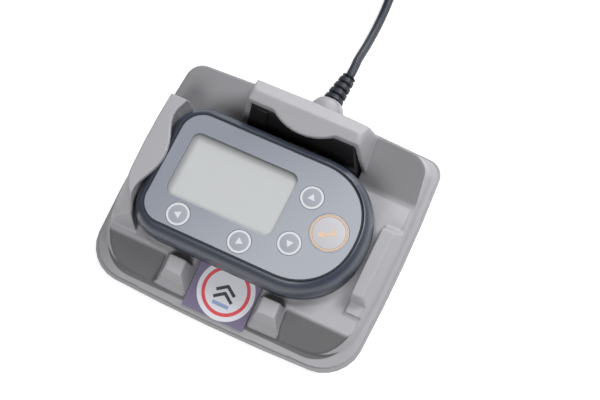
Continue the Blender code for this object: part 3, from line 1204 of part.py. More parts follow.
def make_label():
    """The bare label plate on the channel floor."""
    plan = [(CHANNEL_LEFT_X + LABEL_MARGIN, LABEL_FRONT_Y), (CHANNEL_RIGHT_X - LABEL_MARGIN, LABEL_FRONT_Y),
            (CHANNEL_RIGHT_X - LABEL_MARGIN, CHANNEL_REAR_Y - LABEL_MARGIN),
            (CHANNEL_LEFT_X + LABEL_MARGIN, CHANNEL_REAR_Y - LABEL_MARGIN)]
    rings = []
    for lift in (LABEL_GAP, LABEL_GAP + LABEL_THICKNESS):
        rings.append([Vector((x, y, channel_height(y) + lift)) for x, y in plan])
    loft("label_plate", rings, LABEL_GREY)


def make_base():
    """The base plate, its four rubber feet and its four screws."""
    low, high = FOOT_PAD_HEIGHT, FOOT_PAD_HEIGHT + BASE_THICKNESS
    plate = loft("base_plate", [
        foot_ring(BASE_EDGE, BASE_EDGE, BASE_EDGE, low), foot_ring(0.0, 0.0, 0.0, low + BASE_EDGE),
        foot_ring(0.0, 0.0, 0.0, high - BASE_EDGE), foot_ring(BASE_EDGE, BASE_EDGE, BASE_EDGE, high),
    ], BASE_GREY)
    places = [(side * FOOT_PAD_X, end * FOOT_PAD_Y) for end in (-1, 1) for side in (-1, 1)]
    for index, (x, y) in enumerate(places):
        combine(plate, upright(f"pad_seat_{index}", x, y, FOOT_PAD_RADIUS + SEAT_GAP, low - OVERRUN,
                               low + FOOT_PAD_SINK + SEAT_GAP))
        edge = SEAT_GAP
        profile = ((0.0, FOOT_PAD_RADIUS - edge), (edge, FOOT_PAD_RADIUS),
                   (low + FOOT_PAD_SINK, FOOT_PAD_RADIUS))
        turned(f"rubber_foot_{index + 1}", (x, y, 0), (0, 0, 1), profile, SIDES, DARK_RUBBER)
    for index, (x, y) in enumerate(BASE_SCREW_PLACES):
        head = BASE_SCREW_HEAD_HEIGHT
        seat_z = low + BASE_SCREW_HEAD_DEPTH + head + SEAT_GAP
        combine(plate, upright(f"base_screw_seat_{index}", x, y, BASE_SCREW_HEAD_RADIUS + SEAT_GAP,
                               low - OVERRUN, seat_z, SMALL_SIDES))
        combine(plate, upright(f"base_screw_hole_{index}", x, y, BASE_SCREW_RADIUS + SEAT_GAP,
                               low, high + OVERRUN, SMALL_SIDES))
        profile = ((0.0, BASE_SCREW_HEAD_RADIUS), (head, BASE_SCREW_HEAD_RADIUS), (head, BASE_SCREW_RADIUS),
                   (head + BASE_SCREW_LENGTH, BASE_SCREW_RADIUS))
        turned(f"base_screw_{index + 1}", (x, y, low + BASE_SCREW_HEAD_DEPTH), (0, 0, 1), profile,
               SMALL_SIDES, STEEL)


def relief_axis():
    """The point where the strain relief passes the inner end of the boss, and its direction."""
    direction = Vector((RELIEF_LEAN_SHARE, 1.0, -RELIEF_DROP_SHARE)).normalized()
    start = Vector((RELIEF_X, OUTLET_BOSS_Y - RELIEF_PLAY, OUTLET_Z))
    return start, direction


def make_relief():
    """The grooved strain relief, held by its flange behind the boss; its tip is where the lead starts."""
    start, direction = relief_axis()
    neck = OUTLET_END_Y - OUTLET_BOSS_Y + 2 * RELIEF_PLAY
    profile = [(-RELIEF_FLANGE_LENGTH, RELIEF_FLANGE_RADIUS), (0.0, RELIEF_FLANGE_RADIUS),
               (0.0, RELIEF_NECK_RADIUS), (neck, RELIEF_NECK_RADIUS), (neck, RELIEF_RADIUS)]
    for groove in range(RELIEF_GROOVES):
        for along, depth in RELIEF_GROOVE_SHARES:
            share = (groove + along) / RELIEF_GROOVES
            radius = RELIEF_RADIUS + (RELIEF_TIP_RADIUS - RELIEF_RADIUS) * share
            profile.append((neck + RELIEF_LENGTH * share, radius - RELIEF_GROOVE_DEPTH * depth))
    profile.append((neck + RELIEF_LENGTH, RELIEF_TIP_RADIUS))
    turned("strain_relief", start, direction, profile, SIDES, CORD_BLACK)
    return start + direction * (neck + RELIEF_LENGTH), direction


def smooth_points(route, step):
    """Points at an even step along a smooth curve through the route."""
    ends = [2 * route[0] - route[1], *route, 2 * route[-1] - route[-2]]
    dense = []
    for first, second, third, fourth in zip(ends, ends[1:], ends[2:], ends[3:]):
        for index in range(CORD_DENSE_STEPS):
            t = index / CORD_DENSE_STEPS
            dense.append(0.5 * (2 * second + (third - first) * t
                                + (2 * first - 5 * second + 4 * third - fourth) * t ** 2
                                + (3 * second - first - 3 * third + fourth) * t ** 3))
    dense.append(route[-1])
    length = sum((after - before).length for before, after in zip(dense, dense[1:]))
    spacing = length / max(1, round(length / step))
    points, run = [dense[0]], 0.0
    for before, after in zip(dense, dense[1:]):
        piece = (after - before).length
        while run + piece >= spacing and piece > 0:
            before = before.lerp(after, (spacing - run) / piece)
            points.append(before)
            piece = (after - before).length
            run = 0.0
        run += piece
    points[-1 if (points[-1] - dense[-1]).length < spacing / 2 else len(points) - 1] = dense[-1]
    return points


def coil_points():
    """The wound length: four layers that spiral in and out at a steady rate, one climb at each reversal."""
    turns = COIL_LAYERS * COIL_TURNS_A_LAYER
    count = round(turns * COIL_POINTS_A_TURN)
    points = []
    for step in range(count + 1):
        turn = step / COIL_POINTS_A_TURN
        layer, within = divmod(turn, COIL_TURNS_A_LAYER)
        inward = within if layer % 2 == 0 else COIL_TURNS_A_LAYER - within
        if step == count:
            inward = 0.0
        radius = COIL_OUTER_RADIUS - COIL_PITCH * inward
        height = COIL_LOW_Z
        for reversal in range(1, COIL_LAYERS):
            climb = (turn - reversal * COIL_TURNS_A_LAYER) / COIL_CLIMB_TURNS + 0.5
            height += COIL_PITCH * min(1.0, max(0.0, climb))
        angle = math.tau * turn
        points.append(Vector((COIL_X + radius * math.cos(angle), COIL_Y + radius * math.sin(angle), height)))
    lead = Vector((0.0, CORD_DIAMETER, 0.0))
    return [points[0] - lead, *points, points[-1] + lead]


def least_gap(points, diameter):
    """The least distance between the faces of runs of the tube that lie more than half a turn apart."""
    apart = COIL_POINTS_A_TURN // 2
    least = min((one - other).length for index, one in enumerate(points) for other in points[index + apart:])
    return least - diameter


def tail_points(start):
    """The tail, which rounds the outside of the coil down to the table and runs on to the plug."""
    route = [start]
    base = COIL_OUTER_RADIUS
    low_z = CORD_DIAMETER / 2 + TAIL_LIFT
    for step in range(1, TAIL_STEPS):
        share = step / (TAIL_STEPS - 1)
        angle = math.tau * TAIL_TURN_SHARE * share + CORD_DIAMETER * 2 / base
        out = min(1.0, share / TAIL_OUT_SHARE)
        down = min(1.0, max(0.0, (share - TAIL_OUT_SHARE / 2) / (1 - TAIL_OUT_SHARE)))
        ease_out = out * out * (3 - 2 * out)
        ease_down = down * down * (3 - 2 * down)
        radius = base + TAIL_ROOM * ease_out
        height = start.z + (low_z - start.z) * ease_down
        route.append(Vector((COIL_X + radius * math.cos(angle), COIL_Y + radius * math.sin(angle), height)))
    middle = Vector((COIL_X, COIL_Y, 0.0))
    return route + [middle + Vector(point) for point in TAIL_POINTS]


def make_cord():
    """The lead: its free stretch, its wound length with a tie, its tail and its flat plug."""
    tip, direction = make_relief()
    start = tip + direction * SEAT_GAP
    coil = coil_points()
    coil_start = coil[0] - Vector((0.0, SEAT_GAP, 0.0))
    outlet = Vector((OUTLET_X, OUTLET_END_Y, 0.0))
    route = [start + direction * CORD_DIAMETER / 2, *[outlet + Vector(point) for point in CORD_ROUTE],
             coil_start - Vector((0.0, CORD_DIAMETER / 2, 0.0))]
    stretch = [start, *smooth_points(route, CORD_STEP), coil_start]
    tube("cord_stretch", stretch, CORD_DIAMETER, 2, CORD_BLACK)
    tube("cord_coil", coil, CORD_DIAMETER, 1, CORD_BLACK)
    tail_start = coil[-1] + Vector((0.0, SEAT_GAP, 0.0))
    straight_end = tail_start + Vector((0.0, CORD_DIAMETER / 2, 0.0))
    tail = [tail_start, *smooth_points(tail_points(straight_end), CORD_STEP)]
    tube("cord_tail", tail, CORD_DIAMETER, 2, CORD_BLACK)
    print("coil least gap to itself in metres", round(least_gap(coil, CORD_DIAMETER), 6))
    tail_gap = min((one - other).length for one in tail[2:] for other in coil) - CORD_DIAMETER
    print("tail least gap to the coil in metres", round(tail_gap, 6))
    runs = [sum((b - a).length for a, b in zip(line, line[1:])) for line in (stretch, coil, tail)]
    print("lead lengths in metres", [round(run, 4) for run in runs])
    make_tie()
    make_plug(tail[-1])


def make_tie():
    """A flat strap round the wound length, on the side that faces the cradle."""
    spread = COIL_PITCH * COIL_TURNS_A_LAYER
    radius = CORD_DIAMETER / 2 + TIE_ROOM
    near = COIL_Y - COIL_OUTER_RADIUS - radius + COIL_PITCH / 4
    far = COIL_Y - COIL_OUTER_RADIUS + spread + radius
    low, high = TIE_THICKNESS, COIL_LOW_Z + COIL_PITCH * (COIL_LAYERS - 1) + CORD_DIAMETER / 2 + SEAT_GAP
    inner = rounded_outline(near, far, low, high, TIE_CORNER, TIE_CORNER_STEPS)
    grow = TIE_THICKNESS
    outer = rounded_outline(near - grow, far + grow, low - grow, high + grow,
                            TIE_CORNER + grow, TIE_CORNER_STEPS)
    half = TIE_WIDTH / 2
    rings = []
    for outline, x in ((outer, -half), (outer, half), (inner, half), (inner, -half)):
        rings.append([Vector((COIL_X + x, y, z)) for y, z in outline])
    loft("coil_tie", rings, DARK_RUBBER, ring_of_rings=True)


def make_plug(start):
    """The flat plug on the table: moulded grip, metal shell with an open mouth, and the tongue inside."""
    direction = Vector((PLUG_LEAN_SHARE, -1.0, 0.0)).normalized()
    side = Vector((-direction.y, direction.x, 0.0))
    up = Vector((0.0, 0.0, 1.0))
    middle_z = PLUG_HEIGHT / 2 + SEAT_GAP
    origin = Vector((start.x, start.y, middle_z)) + direction * SEAT_GAP

    def section(distance, width, height, radius):
        outline = rounded_outline(-width / 2, width / 2, -height / 2, height / 2, radius, 3)
        return [origin + direction * distance + side * across + up * rise for across, rise in outline]

    nose = PLUG_LENGTH * PLUG_NOSE_LENGTH_SHARE
    grip = loft("plug_body", [
        section(0.0, PLUG_WIDTH * PLUG_NOSE_SHARE, PLUG_HEIGHT * PLUG_NOSE_HEIGHT_SHARE, PLUG_RADIUS),
        section(nose, PLUG_WIDTH, PLUG_HEIGHT, PLUG_RADIUS),
        section(PLUG_LENGTH, PLUG_WIDTH, PLUG_HEIGHT, PLUG_RADIUS),
    ], CORD_BLACK)
    shell_start = PLUG_LENGTH - PLUG_SOCKET_DEPTH
    wide, high, wall = PLUG_SHELL_WIDTH, PLUG_SHELL_HEIGHT, PLUG_SHELL_WALL
    gap = 2 * SEAT_GAP
    combine(grip, loft("plug_socket", [
        section(shell_start, wide + gap, high + gap, wall),
        section(PLUG_LENGTH + OVERRUN, wide + gap, high + gap, wall)]))
    end = PLUG_LENGTH + PLUG_SHELL_LENGTH
    shell_back = shell_start + SEAT_GAP
    shell = loft("plug_shell", [
        section(shell_back, wide, high, wall), section(end, wide, high, wall)], STEEL)
    inner_wide, inner_high = wide - 2 * wall, high - 2 * wall
    mouth_back = shell_back + PLUG_SOCKET_DEPTH
    combine(shell, loft("plug_mouth", [
        section(mouth_back, inner_wide, inner_high, wall / 2),
        section(end + OVERRUN, inner_wide, inner_high, wall / 2)]))
    drop = (inner_high - PLUG_TONGUE_HEIGHT) / 2 - SEAT_GAP
    tongue = []
    for distance in (mouth_back + SEAT_GAP, end - PLUG_TONGUE_SHORTER):
        ring = section(distance, inner_wide - gap, PLUG_TONGUE_HEIGHT, wall / 2)
        tongue.append([point - up * drop for point in ring])
    loft("plug_tongue", tongue, CHIP_BLACK)


def build():
    """Make every piece."""
    make_front_case()
    make_back_case()
    make_face()
    make_keys()
    make_board()
    make_cell()
    make_recorder_fittings()
    make_dock_shell()
    make_contact_block()
    make_dock_board()
    make_label()
    make_base()
    make_cord()


build()
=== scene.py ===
"""Dresses the packed heart recorder, its docking cradle and its lead, and sets the stage for its picture."""

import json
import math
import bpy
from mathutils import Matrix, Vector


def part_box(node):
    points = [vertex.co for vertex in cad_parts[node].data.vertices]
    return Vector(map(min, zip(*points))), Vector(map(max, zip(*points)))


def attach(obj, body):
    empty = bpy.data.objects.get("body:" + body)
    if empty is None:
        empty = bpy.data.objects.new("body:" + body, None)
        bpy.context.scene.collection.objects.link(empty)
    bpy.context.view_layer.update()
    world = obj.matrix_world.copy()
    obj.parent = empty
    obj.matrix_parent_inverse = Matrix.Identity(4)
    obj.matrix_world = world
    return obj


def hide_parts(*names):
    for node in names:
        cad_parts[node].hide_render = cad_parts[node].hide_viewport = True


bl_info = {
    "name": "Heart recorder in its cradle",
    "version": (1, 0, 0),
    "blender": (4, 5, 0),
    "location": "View3D > Sidebar > Recorder",
    "description": "Makes the visible surfaces of a heart recorder, its docking cradle and its lead",
    "category": "Object",
}

import bmesh
import bpy
from mathutils import Matrix, Vector

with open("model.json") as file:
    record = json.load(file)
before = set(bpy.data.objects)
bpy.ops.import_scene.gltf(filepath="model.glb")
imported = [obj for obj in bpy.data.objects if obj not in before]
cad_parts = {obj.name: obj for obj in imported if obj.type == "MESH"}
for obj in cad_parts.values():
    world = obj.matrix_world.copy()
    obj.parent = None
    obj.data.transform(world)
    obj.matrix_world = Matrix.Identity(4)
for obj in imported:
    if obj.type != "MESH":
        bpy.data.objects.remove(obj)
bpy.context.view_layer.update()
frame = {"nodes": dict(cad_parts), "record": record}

MM = 0.001
MERGE_DISTANCE = 0.002 * MM
# The turn that points a piece along +Z; its first corner then lies half a turn round
UPRIGHT = Vector((0.0, 0.0, 1.0)).to_track_quat("Z", "Y").to_euler()


def corners(node):
    """The lowest and highest corner of a node of the frame, as vectors."""
    low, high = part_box(node)
    return Vector(low), Vector(high)


def srgb(red, green, blue):
    """A linear colour from the three values of a screen colour, each 0 to 255."""
    def linear(value):
        share = value / 255
        return share / 12.92 if share <= 0.04045 else ((share + 0.055) / 1.055) ** 2.4
    return (linear(red), linear(green), linear(blue), 1.0)


def shaded(color, share):
    """A colour with its brightness multiplied."""
    return (*(value * share for value in color[:3]), 1.0)


KEY_NODES = ("key_left", "key_middle", "key_right", "key_upper", "key_enter")
KEY_TURNS = {"key_left": -64.0, "key_middle": 111.0, "key_right": 30.0, "key_upper": 208.0}


def color_value(name, description, *screen_color):
    """A colour that the panel shows; its default is given as a screen colour."""
    return bpy.props.FloatVectorProperty(name=name, description=description, subtype="COLOR", size=4,
                                         default=srgb(*screen_color))


def length_value(name, description, default):
    """A length that the panel shows."""
    return bpy.props.FloatProperty(name=name, description=description, unit="LENGTH", default=default)


class RecorderLook(bpy.types.PropertyGroup):
    """Colours and sizes of the recorder's visible pieces."""
    case_color: color_value("Case", "Colour of the moulded case", 56, 62, 75)
    # Painted shade: the back half is coloured darker than the case, for the shade under the rim
    tray_painted_shade_color: color_value("Tray", "Colour of the case's back half", 34, 37, 44)
    overlay_color: color_value("Overlay", "Colour of the face at the square end", 134, 138, 149)
    # The film's colour with the painted reflection, reached towards the front of the round end
    overlay_painted_reflection_color: color_value("Pale overlay", "Colour of the face at the round end", 161, 165, 173)
    cap_color: color_value("Key caps", "Colour of the arrow keys' caps", 156, 159, 168)
    enter_cap_color: color_value("Enter cap", "Colour of the large key's cap", 187, 187, 191)
    print_color: color_value("Print", "Colour of the arrow rings", 205, 208, 212)
    enter_color: color_value("Enter print", "Colour of the large key's ring and arrow", 214, 184, 156)
    display_color: color_value("Display", "Colour of the blank display", 180, 182, 183)
    ring_radius: length_value("Ring radius", "Middle radius of an arrow key's ring", 4.17 * MM)
    enter_ring_radius: length_value("Enter ring radius", "Middle radius of the large key's ring", 6.86 * MM)
    ring_width: length_value("Ring width", "Width of a printed ring", 0.6 * MM)
    print_height: length_value("Print height", "How far the print stands above a key", 0.04 * MM)
    rim_round: length_value("Rim width", "Width of the rounded rim round the face", 4.1 * MM)
    square_radius: length_value("Square end radius", "Outer corner radius at the square end", 13.6 * MM)
    wall: length_value("Wall", "Thickness of the case's wall", 1.8 * MM)


class CradleLook(bpy.types.PropertyGroup):
    """Colours and sizes of the cradle's visible pieces."""
    shell_color: color_value("Shell", "Colour of the cradle's moulded shell", 160, 160, 164)
    base_color: color_value("Base", "Colour of the base plate", 150, 150, 153)
    block_color: color_value("Contact block", "Colour of the black contact block", 26, 25, 26)
    label_color: color_value("Label", "Colour of the label plate", 118, 108, 138)
    sign_color: color_value("Sign", "Colour of the round sign", 226, 227, 234)
    sign_ring_color: color_value("Sign ring", "Colour of the ring on the sign", 222, 74, 84)
    sign_radius: length_value("Sign radius", "Radius of the round sign", 11.9 * MM)
    grain: length_value("Remesh grain", "Grain at which the shell's edges are softened", 0.5 * MM)


class LeadLook(bpy.types.PropertyGroup):
    """Colours and sizes of the lead."""
    cord_color: color_value("Lead", "Colour of the lead's jacket", 36, 40, 52)
    diameter: length_value("Diameter", "Diameter of the lead", 3.8 * MM)


class StageLook(bpy.types.PropertyGroup):
    """Camera, lamps and floor."""
    camera_place: bpy.props.FloatVectorProperty(
        name="Camera place", description="Where the camera stands", subtype="TRANSLATION", size=3,
        default=(0.1040985, -0.1176205, 0.4656544))
    camera_turn: bpy.props.FloatVectorProperty(
        name="Camera turn", description="How the camera is turned", subtype="EULER", size=3,
        default=tuple(math.radians(angle) for angle in (18.71123322, 3.51396563, 25.77888416)))
    lens: bpy.props.FloatProperty(
        name="Lens", description="Focal length in millimetres on a 36 mm sensor", default=72.0)
    floor_size: length_value("Floor size", "Side of the floor", 6.0)
    key_power: bpy.props.FloatProperty(
        name="Key power", description="Power of the large key lamp in watts", default=8.8)
    rear_power: bpy.props.FloatProperty(
        name="Rear power", description="Power of the low lamp to the rear in watts", default=6.9)
    fill_power: bpy.props.FloatProperty(
        name="Fill power", description="Power of the fill lamp in front in watts", default=6.3)
    surround: bpy.props.FloatProperty(
        name="Surround", description="Brightness of the white surrounding", default=0.12)


def look(group):
    """The values that the panel shows for one group."""
    return getattr(bpy.context.scene, group)


def new_material(name):
    """A new material and its Principled shader."""
    made = bpy.data.materials.new(name)
    made.use_nodes = True
    return made, made.node_tree.nodes["Principled BSDF"]


def feed(made, node, inputs):
    """Fill a node's inputs; a value that is another node's output is linked."""
    for name, value in inputs.items():
        if isinstance(value, bpy.types.NodeSocket):
            made.node_tree.links.new(value, node.inputs[name])
        else:
            node.inputs[name].default_value = value


def add_node(made, kind, inputs=None, **fields):
    """A node of a kind with its fields set and its inputs filled."""
    node = made.node_tree.nodes.new(f"ShaderNode{kind}")
    for name, value in fields.items():
        setattr(node, name, value)
    feed(made, node, inputs or {})
    return node


def object_place(made):
    """The coordinates of the piece itself."""
    return add_node(made, "TexCoord", name="place").outputs["Object"]


def noise(made, place, scale, detail=2.0):
    """A noise pattern between 0 and 1."""
    return add_node(made, "TexNoise", {"Vector": place, "Scale": scale, "Detail": detail}).outputs["Fac"]


def spread(made, source, low_value, high_value):
    """A value between 0 and 1 spread evenly between two others."""
    share = add_node(made, "MapRange", {"Value": source, "To Min": low_value, "To Max": high_value})
    return share.outputs["Result"]


def smooth_range(made, source, low, high, low_value=0.0, high_value=1.0):
    """A value that turns smoothly from one to the other as its source goes from low to high."""
    share = add_node(made, "MapRange", {
        "Value": source, "From Min": low, "From Max": high, "To Min": low_value, "To Max": high_value},
        interpolation_type="SMOOTHSTEP")
    return share.outputs["Result"]


def calculate(made, operation, first, second):
    """The result of one operation on two values."""
    return add_node(made, "Math", {0: first, 1: second}, operation=operation).outputs["Value"]


def product(made, first, *others):
    """The product of two or more values."""
    for other in others:
        first = calculate(made, "MULTIPLY", first, other)
    return first


def mixed(made, share, first, second):
    """The first value at a share of 0 and the second at 1."""
    return add_node(made, "Mix", {"Factor": share, "A": first, "B": second}).outputs["Result"]


def mixed_color(made, share, first, second):
    """The first colour at a share of 0 and the second at 1."""
    blend = add_node(made, "Mix", {"Factor": share, "A": first, "B": second}, data_type="RGBA")
    return blend.outputs["Result"]


def tinted(made, color, shade):
    """A colour multiplied by a shade."""
    tint = add_node(made, "Mix", {"Factor": 1.0, "A": color, "B": shade}, data_type="RGBA",
                    blend_type="MULTIPLY", name="tint")
    return tint.outputs["Result"]


def relief(made, height, strength, distance):
    """The normal of a surface with a fine relief."""
    bump = add_node(made, "Bump", {"Height": height, "Strength": strength, "Distance": distance})
    return bump.outputs["Normal"]


def plastic(name, color, roughness=0.45, grain=2600.0, depth=0.12, cloud=0.05, coat=0.0):
    """Moulded plastic: fine spark texture in the bump, faint clouding and uneven gloss."""
    made, shader = new_material(name)
    place = object_place(made)
    fine = noise(made, place, grain, 3.0)
    shade = spread(made, noise(made, place, 38.0, 5.0), 1.0 - cloud, 1.0 + cloud)
    feed(made, shader, {
        "Base Color": tinted(made, color, shade),
        "Roughness": spread(made, fine, max(0.05, roughness - 0.06), min(1.0, roughness + 0.08)),
        "Normal": relief(made, fine, depth, 0.1 * MM),
        "Coat Weight": coat,
        "Coat Roughness": 0.2,
    })
    return made


def metal(name, color, roughness):
    """Plated metal with fine streaks."""
    made, shader = new_material(name)
    stretch = add_node(made, "Mapping", {"Vector": object_place(made), "Scale": (1.0, 1.0, 0.05)})
    streak = noise(made, stretch.outputs["Vector"], 3000.0)
    feed(made, shader, {
        "Base Color": color,
        "Metallic": 1.0,
        "Roughness": spread(made, streak, max(0.05, roughness - 0.08), roughness + 0.1),
        "Normal": relief(made, streak, 0.05, 0.05 * MM),
    })
    return made


def set_only(piece, finish):
    """Give a piece this material and no other."""
    piece.data.materials.clear()
    piece.data.materials.append(finish)


def deselect():
    """Leave edit mode and select nothing."""
    if bpy.context.object and bpy.context.object.mode != "OBJECT":
        bpy.ops.object.mode_set(mode="OBJECT")
    bpy.ops.object.select_all(action="DESELECT")


def pick(piece):
    """Select one object alone and make it active."""
    deselect()
    piece.select_set(True)
    bpy.context.view_layer.objects.active = piece


def added(name):
    """Name the primitive that was just added, and put its place and turn into its mesh."""
    piece = bpy.context.object
    piece.name = name
    piece.data.name = name
    bpy.ops.object.transform_apply(location=True, rotation=True, scale=True)
    return piece


def add_bar(name, place, scale, turn=(0.0, 0.0, 0.0)):
    """A block of a size about its middle, turned by three angles."""
    deselect()
    bpy.ops.mesh.primitive_cube_add(size=1.0, location=place, rotation=turn, scale=scale)
    return added(name)


def add_block(name, low, high):
    """A block between two corners."""
    low, high = Vector(low), Vector(high)
    return add_bar(name, (low + high) / 2, high - low)


def add_cylinder(name, place, radius, depth, sides=96, turn=UPRIGHT):
    """A cylinder about its middle, upright or turned by three angles."""
    deselect()
    bpy.ops.mesh.primitive_cylinder_add(vertices=sides, radius=radius, depth=depth, location=place,
                                        rotation=turn)
    return added(name)


def choose(piece, kind, test):
    """Select the faces or edges for which the test holds, in edit mode."""
    pick(piece)
    bpy.ops.object.mode_set(mode="EDIT")
    bpy.ops.mesh.select_mode(type="FACE" if kind == "faces" else "EDGE")
    bpy.ops.mesh.select_all(action="DESELECT")
    shape = bmesh.from_edit_mesh(piece.data)
    for part in getattr(shape, kind):
        part.select_set(bool(test(part)))
    bmesh.update_edit_mesh(piece.data)


def leave(piece):
    """Go back to object mode."""
    bpy.ops.object.mode_set(mode="OBJECT")
    return piece


def edge_middle(edge):
    """The middle of an edge."""
    return (edge.verts[0].co + edge.verts[1].co) / 2


def is_upright(edge):
    """Whether an edge runs along Z."""
    run = edge.verts[1].co - edge.verts[0].co
    return abs(run.z) > 0.99 * run.length


def bevel_chosen(offset, segments, profile=0.5):
    """Round the chosen edges."""
    bpy.ops.mesh.bevel(offset=offset, offset_type="OFFSET", segments=segments, profile=profile, affect="EDGES")


def apply_modifier(piece, kind, **values):
    """Add a modifier with these values and apply it."""
    pick(piece)
    change = piece.modifiers.new(kind.lower(), kind)
    for key, value in values.items():
        setattr(change, key, value)
    bpy.ops.object.modifier_apply(modifier=change.name)


def cut_with(piece, tool, operation="DIFFERENCE"):
    """Cut a piece with a tool, or join the two, and remove the tool."""
    apply_modifier(piece, "BOOLEAN", operation=operation, solver="EXACT", object=tool)
    bpy.data.objects.remove(tool, do_unlink=True)


def clean(piece):
    """Merge doubles and point the faces outwards."""
    pick(piece)
    bpy.ops.object.mode_set(mode="EDIT")
    bpy.ops.mesh.select_all(action="SELECT")
    bpy.ops.mesh.remove_doubles(threshold=MERGE_DISTANCE)
    bpy.ops.mesh.normals_make_consistent(inside=False)
    leave(piece)


def smooth(piece, degrees):
    """Shade smooth, with edges sharper than the angle kept."""
    pick(piece)
    bpy.ops.object.shade_smooth_by_angle(angle=math.radians(degrees))


def settle(piece, body, finish, slot_name, *nodes, degrees=35.0):
    """Smooth a finished piece, give it its material, let it ride on its body and stand for its nodes."""
    smooth(piece, degrees)
    set_only(piece, finish)
    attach(piece, body)
    if nodes:
        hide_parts(*nodes)


def copy_of(node, name):
    """A merged copy of a node of the frame, as a start for a softened piece."""
    source = frame["nodes"][node]
    deselect()
    piece = bpy.data.objects.new(name, source.data.copy())
    bpy.context.scene.collection.objects.link(piece)
    clean(piece)
    return piece


def softened_copy(node, name, width, segments=2):
    """A copy of a node with its sharp edges rounded."""
    piece = copy_of(node, name)
    apply_modifier(piece, "DECIMATE", decimate_type="DISSOLVE", angle_limit=math.radians(1.0))
    apply_modifier(piece, "BEVEL", width=width, segments=segments, limit_method="ANGLE",
                   angle_limit=math.radians(30.0), use_clamp_overlap=True)
    return piece


def dress(node, name, body, finish, slot_name, width=0.0, segments=2):
    """Cover a node with a copy of itself in this finish, its sharp edges rounded where a width is given."""
    piece = softened_copy(node, name, width, segments) if width else copy_of(node, name)
    settle(piece, body, finish, slot_name, node)
    return piece


def turned_by_hand(name, start, direction, profile, sides):
    """A turned piece: a filled circle, extruded along its axis and widened or narrowed at each step."""
    deselect()
    direction = Vector(direction).normalized()
    turn = direction.to_track_quat("Z", "Y")
    place = Vector(start) + direction * profile[0][0]
    bpy.ops.mesh.primitive_circle_add(vertices=sides, radius=profile[0][1], fill_type="NGON", location=place,
                                      rotation=turn.to_euler())
    piece = added(name)
    pick(piece)
    bpy.ops.object.mode_set(mode="EDIT")
    bpy.ops.mesh.select_mode(type="FACE")
    bpy.ops.mesh.select_all(action="SELECT")
    for (near, before), (far, radius) in zip(profile, profile[1:]):
        bpy.ops.mesh.extrude_region_move(TRANSFORM_OT_translate={"value": direction * (far - near)})
        if abs(radius - before) > 0.000001:
            centre = Vector(start) + direction * far
            share = radius / before
            bpy.ops.transform.resize(value=(share, share, share), center_override=centre)
    bpy.ops.mesh.select_all(action="SELECT")
    bpy.ops.mesh.normals_make_consistent(inside=False)
    return leave(piece)


class LeadOperator(bpy.types.Operator):
    """Lay the lead from the strain relief to the coil and on to the plug"""
    bl_idname = "recorder.make_lead"
    bl_label = "Lead"

    def execute(self, context):
        make_lead()
        return {"FINISHED"}


# The stretch's points are measured from the outlet's end on the table, the tail's from the coil's middle
OUTLET_PLACE = Vector((0.0058, 0.052025, 0.0))
CORD_ROUTE = (
    (0.0014, 0.0218, 0.0117),
    (0.0012, 0.0318, 0.0076),
    (0.0007, 0.0418, 0.0040),
    (0.0002, 0.0508, 0.0023),
    (-0.0004, 0.0588, 0.00195),
    (-0.0004, 0.0678, 0.0022),
)
TAIL_POINTS = (
    (-0.0321, -0.0060, 0.0042),
    (-0.0330, -0.0130, 0.0041),
)
COIL_CENTRE = OUTLET_PLACE + Vector((-0.0272, 0.0838, 0.0))
COIL_OUTER_RADIUS = 26.9 * MM
COIL_LAYERS = 4
COIL_TURNS_A_LAYER = 2.5
COIL_POINTS_A_TURN = 40
COIL_PITCH = 4.3 * MM
COIL_LOW_Z = 3.0 * MM
TAIL_ROOM = 4.6 * MM
TAIL_LIFT = 1.8 * MM
TAIL_TURN_SHARE = 0.47
TAIL_OUT_SHARE = 0.3
TAIL_STEPS = 13
SEAT_GAP = 0.3 * MM
LEAD_STEP = 4.5 * MM
RELIEF_START = (0.00475, 0.0422142, 0.0136)
RELIEF_DIRECTION = Vector((0.122, 1.0, -0.022)).normalized()
RELIEF_NECK = 10.4108 * MM
RELIEF_LENGTH = 12.5 * MM


def smooth_points(route, step):
    """Points at an even step along a smooth curve through the route."""
    ends = [2 * route[0] - route[1], *route, 2 * route[-1] - route[-2]]
    dense = []
    for first, second, third, fourth in zip(ends, ends[1:], ends[2:], ends[3:]):
        for index in range(24):
            t = index / 24
            dense.append(0.5 * (2 * second + (third - first) * t
                                + (2 * first - 5 * second + 4 * third - fourth) * t ** 2
                                + (3 * second - first - 3 * third + fourth) * t ** 3))
    dense.append(route[-1])
    length = sum((after - before).length for before, after in zip(dense, dense[1:]))
    spacing = length / max(1, round(length / step))
    points, run = [dense[0]], 0.0
    for before, after in zip(dense, dense[1:]):
        piece = (after - before).length
        while run + piece >= spacing and piece > 0:
            before = before.lerp(after, (spacing - run) / piece)
            points.append(before)
            piece = (after - before).length
            run = 0.0
        run += piece
    points[-1] = dense[-1]
    return points


def coil_points():
    """The wound length: four layers that spiral in and out, one climb at each reversal."""
    count = round(COIL_LAYERS * COIL_TURNS_A_LAYER * COIL_POINTS_A_TURN)
    points = []
    for step in range(count + 1):
        turn = step / COIL_POINTS_A_TURN
        layer, within = divmod(turn, COIL_TURNS_A_LAYER)
        inward = within if layer % 2 == 0 else COIL_TURNS_A_LAYER - within
        if step == count:
            inward = 0.0
        radius = COIL_OUTER_RADIUS - COIL_PITCH * inward
        height = COIL_LOW_Z
        for reversal in range(1, COIL_LAYERS):
            climb = (turn - reversal * COIL_TURNS_A_LAYER) * 2 + 0.5
            height += COIL_PITCH * min(1.0, max(0.0, climb))
        angle = math.tau * turn
        points.append(Vector((COIL_CENTRE[0] + radius * math.cos(angle),
                              COIL_CENTRE[1] + radius * math.sin(angle), height)))
    return points


